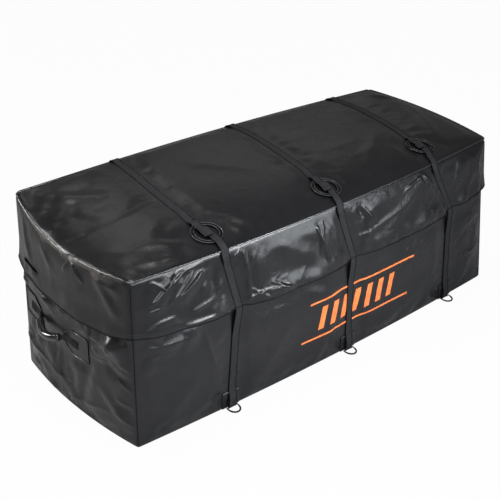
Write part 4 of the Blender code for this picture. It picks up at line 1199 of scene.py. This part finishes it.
def make_joining_ring(line):
    """A flat moulded ring with rounded edges, turned from its section."""
    seat, front, rear, left, right = ring_seat(line)
    normal = (right - left).cross(rear - front).normalized()
    middle = seat + normal * (RING_THICKNESS / 2 + STRAP_GAP)
    turn = normal.to_track_quat("Z", "Y")

    def circle(radius, lift):
        angles = (2 * math.pi * i / RING_STEPS for i in range(RING_STEPS))
        flat = (Vector((math.cos(angle) * radius, math.sin(angle) * radius, lift)) for angle in angles)
        return [middle + turn @ point for point in flat]

    circles = []
    for j in range(RING_SIDES):
        angle = 2 * math.pi * j / RING_SIDES
        reach, lift = math.cos(angle), math.sin(angle)
        reach = math.copysign(abs(reach) ** 0.7, reach)
        lift = math.copysign(abs(lift) ** 0.8, lift)
        circles.append(circle(RING_OUTER - RING_BAND / 2 + reach * RING_BAND / 2, lift * RING_THICKNESS / 2))
    points = [point for section in zip(*circles) for point in section]
    faces = []
    for i in range(RING_STEPS):
        here, after = i * RING_SIDES, (i + 1) % RING_STEPS * RING_SIDES
        for j in range(RING_SIDES):
            k = (j + 1) % RING_SIDES
            faces.append((here + j, after + j, after + k, here + k))
    ring = mesh_object(f"joining_ring_{line}_moulding", points, faces)
    finish(ring, BLACK_MOULDING, f"joining_ring_{line}", slot="moulding")
    # A paler, glossier bead along the outer and inner rim: painted highlight of the ring's edges
    rims = (("outer", RING_OUTER - HIGHLIGHT_BEAD_INSET), ("inner", RING_OUTER - RING_BAND + HIGHLIGHT_BEAD_INSET))
    for side, radius in rims:
        highlight_bead = circle(radius, RING_THICKNESS * 0.36)
        rim = tube(f"joining_ring_{line}_{side}_bead", highlight_bead, HIGHLIGHT_BEAD_RADIUS, 8, closed=True)
        finish(rim, RIM_HIGHLIGHT, slot="moulding")


def make_floor_ring(line, wall):
    half = D_WIDTH / 2
    path = [Vector((blend(-half, half, i / 8), 0, 0)) for i in range(8)]
    for i in range(33):
        angle = math.pi * i / 32
        path.append(Vector((half * math.cos(angle), -D_REACH * math.sin(angle) ** 0.8, 0)))
    path.pop()
    tip_drop = D_AXIS_HEIGHT - D_WIRE * (1 + WIRE_SWELL) - 0.0003
    tilt = Matrix.Rotation(math.asin(tip_drop / D_REACH), 4, "X")
    turn = Matrix.Rotation(0.0 if wall == "front" else math.pi, 4, "Z")
    place = Matrix.Translation(foot_axis(line, wall)) @ turn @ tilt

    def swell(share):
        return 1 + WIRE_SWELL * smooth_step(0.22, 0.32, share) * smooth_step(1.0, 0.90, share)

    ring = tube(f"floor_ring_{wall}_{line}_wire", [place @ point for point in path], D_WIRE, 10, True, swell)
    node = f"floor_ring_{wall}_{line}"
    finish(ring, BLACK_WIRE, node, body=node, slot="wire")


# Carry handles


def handle_place(wall, y, across, lift):
    share = clamp(1 - ((y - HANDLE_Y) / HANDLE_FREE) ** 2)
    bow = share * share
    height = HANDLE_Z - HANDLE_DROOP * bow + across
    return wall_point(wall, y, height, PATCH_PROUD + STRAP_GAP + HANDLE_BOW * bow + lift)


def handle_half_width(y):
    share = smooth_step(GRIP_HALF + 0.002, GRIP_HALF + 0.022, abs(y - HANDLE_Y))
    return blend(HANDLE_WEB_FOLDED, HANDLE_WEB_WIDTH, share) / 2


def make_handle(wall):
    order = 1 if wall == "right" else -1
    ys = stations(HANDLE_Y - order * HANDLE_REACH, HANDLE_Y + order * HANDLE_REACH, 0.004)
    rows = [[handle_place(wall, y, handle_half_width(y) * side, 0.0) for side in ACROSS] for y in ys]
    finish(ribbon(f"handle_{wall}_webbing", rows), HANDLE_WEB, f"handle_web_{wall}", slot="webbing")
    path = [
        handle_place(wall, y, 0.0, WEB_THICKNESS / 2)
        for y in stations(HANDLE_Y - GRIP_HALF, HANDLE_Y + GRIP_HALF, 0.003)
    ]

    def rim(share):
        ends = smooth_step(0.0, 0.04, share) * smooth_step(1.0, 0.96, share)
        return blend(0.72, 1.0, ends)

    grip = tube(f"handle_{wall}_grip", path, GRIP_RADIUS, 24, scale=rim)
    finish(grip, GRIP_SKIN, f"handle_grip_{wall}", slot="grip")
    for name, direction in (("near", -1), ("far", 1)):
        make_handle_patch(wall, name, direction)


def patch_point(wall, direction, along, side, proud):
    """A point of a handle's patch: along from its tip 0 to its end 1, side -1 to 1 across it."""
    y = HANDLE_Y + direction * (GRIP_HALF + HANDLE_PATCH_GAP + HANDLE_PATCH_LENGTH * along)
    half = blend(HANDLE_WEB_WIDTH / 2 + 0.004, HANDLE_PATCH_HEIGHT / 2, clamp(along / PATCH_TAPER))
    return wall_point(wall, y, HANDLE_Z + half * side, proud)


def make_handle_patch(wall, name, direction):
    """One patch with its stitching, rolled edge and the box seam over the webbing's end."""
    sides = [2 * j / PATCH_ACROSS - 1 for j in range(PATCH_ACROSS + 1)]
    rows = [
        [patch_point(wall, direction, i / PATCH_COLUMNS, side, PATCH_PROUD) for side in sides]
        for i in range(PATCH_COLUMNS + 1)
    ]
    if (wall == "left") == (direction > 0):
        rows.reverse()
    patch = sheet(f"handle_{wall}_{name}_patch", rows)
    add_thickness(patch, PATCH_THICKNESS)
    finish(patch, TUB_CLOTH, f"handle_patch_{wall}_{name}", slot="tarpaulin")
    flank, tip, end = 1 - PATCH_RIM, PATCH_RIM / 2, 1 - PATCH_RIM / 2
    outline = [(PATCH_TAPER, -flank), (end, -flank), (end, flank), (PATCH_TAPER, flank)]
    outline += [(tip, flank), (tip, -flank)]
    path = [patch_point(wall, direction, a, b, PATCH_PROUD + 0.0012) for a, b in outline]
    stitches(f"handle_{wall}_{name}_stitching", path)
    corners = [(0.0, -1), (PATCH_TAPER, -1), (1.0, -1), (1.0, 1), (PATCH_TAPER, 1), (0.0, 1)]
    edge = []
    for (a0, b0), (a1, b1) in zip(corners, corners[1:] + corners[:1]):
        edge += [
            patch_point(wall, direction, blend(a0, a1, i / 12), blend(b0, b1, i / 12), PATCH_PROUD + 0.0008)
            for i in range(12)
        ]
    # The rolled edge is paler than the patch: painted highlight along its outline
    roll = tube(f"handle_{wall}_{name}_patch_edge", edge, PATCH_ROLL, 8, closed=True)
    finish(roll, PIPING_HIGHLIGHT_SKIN, slot="tarpaulin")
    box = []
    for along, side in ((0.80, -0.36), (0.97, -0.36), (0.97, 0.36), (0.80, 0.36)):
        y = HANDLE_Y + direction * HANDLE_REACH * along
        box.append(handle_place(wall, y, HANDLE_WEB_WIDTH * side, WEB_THICKNESS + 0.0002))
    line = [blend(a, b, i / 6) for a, b in zip(box, box[1:] + box[:1]) for i in range(6)]
    finish(tube(f"handle_{wall}_{name}_box_seam", line, 0.0008, 6, closed=True), WELT_AND_SHADE_LINE, slot="webbing")


def stitches(name, path):
    """Thread stitches once round a closed path of points, each a short thread that thins at its ends."""
    points, faces = [], []
    for a, b in zip(path, path[1:] + path[:1]):
        step = b - a
        count = max(1, int(step.length / STITCH_PITCH))
        forward = step.normalized()
        side = forward.orthogonal().normalized()
        other = forward.cross(side)
        for i in range(count):
            middle = a + step * ((i + 0.5) / count)
            start = len(points)
            for end, size in THREAD_SECTIONS:
                for j in range(THREAD_SIDES):
                    angle = 2 * math.pi * j / THREAD_SIDES
                    spread = (side * math.cos(angle) + other * math.sin(angle)) * THREAD_RADIUS * size
                    points.append(middle + forward * STITCH_LENGTH * end + spread)
            faces += grid_faces(THREAD_SIDES, len(THREAD_SECTIONS), closed=True, start=start)
            faces.append(tuple(start + j for j in reversed(range(THREAD_SIDES))))
            faces.append(tuple(len(points) - THREAD_SIDES + j for j in range(THREAD_SIDES)))
    finish(mesh_object(name, points, faces), THREAD, slot="webbing")


def make_foot_patch(line, wall):
    width, height = FOOT_PATCH
    x = lashing_x(line, wall, 0.0)
    lateral = 1 if wall == "front" else -1
    rows = [
        [wall_point(wall, x + lateral * width * (j / 12 - 0.5), t, PATCH_PROUD) for j in range(13)]
        for t in stations(EDGE_RADIUS * 0.2, height, STRAP_STEP)
    ]
    patch = sheet(f"foot_patch_{wall}_{line}_cloth", rows)
    add_thickness(patch, PATCH_THICKNESS)
    finish(patch, TUB_CLOTH, f"foot_patch_{wall}_{line}", slot="tarpaulin")


# The printed mark


def on_shell(tree, place, outward, proud):
    """The point of the settled shell under a place, seen along outward, a little proud of it."""
    hit = tree.ray_cast(place + outward * 0.05, -outward, 0.10)[0]
    return (hit or place) + outward * proud


def mark_field(tree, name, s0, s1, t0, t1):
    """A thin printed field between heights t0 and t1, leaning with the mark's slant."""
    columns = max(2, round((s1 - s0) / MARK_CELL))
    rows = max(2, round((t1 - t0) / MARK_CELL))

    def place(i, j):
        t = blend(t0, t1, j / rows)
        lean = MARK_SLANT * (t - MARK_LOW) / (MARK_HIGH - MARK_LOW)
        flat = wall_point("front", blend(s0, s1, i / columns) + lean, t, 0.0)
        return on_shell(tree, flat, WALLS["front"][2], MARK_PROUD)

    field = sheet(name, [[place(i, j) for i in range(columns + 1)] for j in range(rows + 1)])
    finish(field, PRINT_ORANGE, slot="tarpaulin")


def make_mark(shell):
    tree = surface_tree(shell)
    mark_field(tree, "print_rule_low", MARK_LEFT, MARK_RIGHT, MARK_LOW, MARK_LOW + MARK_RULE)
    mark_field(tree, "print_rule_high", MARK_LEFT, MARK_RIGHT, MARK_HIGH - MARK_RULE, MARK_HIGH)
    pitch = (MARK_RIGHT - MARK_LEFT - 2 * MARK_MARGIN) / MARK_BARS
    low, high = MARK_LOW + MARK_BAR_INSET, MARK_HIGH - MARK_BAR_INSET
    for i in range(MARK_BARS):
        start = MARK_LEFT + MARK_MARGIN + i * pitch
        mark_field(tree, f"print_bar_{i + 1}", start, start + pitch * MARK_BAR_SHARE, low, high)


# The camera, the lamps and the floor


def make_camera():
    back = Vector((
        math.sin(CAMERA_AZIMUTH) * math.cos(CAMERA_ELEVATION),
        -math.cos(CAMERA_AZIMUTH) * math.cos(CAMERA_ELEVATION),
        math.sin(CAMERA_ELEVATION),
    ))
    data = bpy.data.cameras.new("camera")
    data.lens = CAMERA_LENS
    data.sensor_width = 36.0
    camera = bpy.data.objects.new("camera", data)
    camera.location = CAMERA_TARGET + back * CAMERA_DISTANCE
    camera.rotation_euler = back.to_track_quat("Z", "Y").to_euler()
    bpy.context.scene.collection.objects.link(camera)
    bpy.context.scene.camera = camera


def area_light(name, place, size, power, color, aim, spread):
    data = bpy.data.lights.new(name, "AREA")
    data.shape = "RECTANGLE"
    data.size, data.size_y = size
    data.energy = power
    data.spread = math.radians(spread)
    data.color = color
    lamp = bpy.data.objects.new(name, data)
    lamp.location = place
    lamp.rotation_euler = (Vector(place) - Vector(aim)).to_track_quat("Z", "Y").to_euler()
    bpy.context.scene.collection.objects.link(lamp)


def make_studio():
    corners = [(x * FLOOR_HALF, y * FLOOR_HALF, 0) for x, y in ((-1, -1), (1, -1), (1, 1), (-1, 1))]
    floor = mesh_object("studio_floor", corners, [(0, 1, 2, 3)])
    floor.location.z = -FLOOR_DROP
    made, nodes, links, shader = new_material("studio_floor")
    set_inputs(shader, {"Base Color": FLOOR_COLOR, "Roughness": 0.9})
    path = nodes.new("ShaderNodeLightPath")
    glow = nodes.new("ShaderNodeEmission")
    mix = nodes.new("ShaderNodeMixShader")
    share = map_range(nodes, links, path.outputs["Is Camera Ray"], 0.0, 1.0, 0.0, FLOOR_SEEN)
    links.new(share, mix.inputs["Fac"])
    links.new(shader.outputs["BSDF"], mix.inputs[1])
    links.new(glow.outputs["Emission"], mix.inputs[2])
    links.new(mix.outputs["Shader"], nodes["Material Output"].inputs["Surface"])
    floor.data.materials.append(made)
    world = bpy.data.worlds.new("studio")
    bpy.context.scene.world = world
    world.use_nodes = True
    sky, joins = world.node_tree.nodes, world.node_tree.links
    sky["Background"].inputs["Color"].default_value = (*WHITE, 1.0)
    seen = sky.new("ShaderNodeLightPath").outputs["Is Camera Ray"]
    strength = map_range(sky, joins, seen, 0.0, 1.0, SKY_STRENGTH, 1.0)
    joins.new(strength, sky["Background"].inputs["Strength"])
    for lamp in LAMPS:
        area_light(*lamp)
    bpy.context.scene.view_settings.view_transform = "Standard"


def dress_zip():
    """Give the zip's own solids, which stay in the scene, their materials."""
    for name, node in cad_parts.items():
        if name.startswith("zip_"):
            for slot in node.material_slots:
                slot.material = TAPE_WEB if name.endswith("_tape") else ZIP_ENAMEL


make_camera()
make_studio()
tub_shell = make_tub_shell()
lid_shell = make_lid_shell()
make_hem(lid_shell)
make_piping()
make_corner_welts()
for lashing in LASHINGS:
    make_strap(lashing, "front", 1, False)
    make_strap(lashing, "back", -1, True)
    make_joining_ring(lashing)
    for side_wall in ("front", "back"):
        make_floor_ring(lashing, side_wall)
        make_foot_patch(lashing, side_wall)
for end_wall in ("left", "right"):
    make_handle(end_wall)
make_mark(tub_shell)
dress_zip()
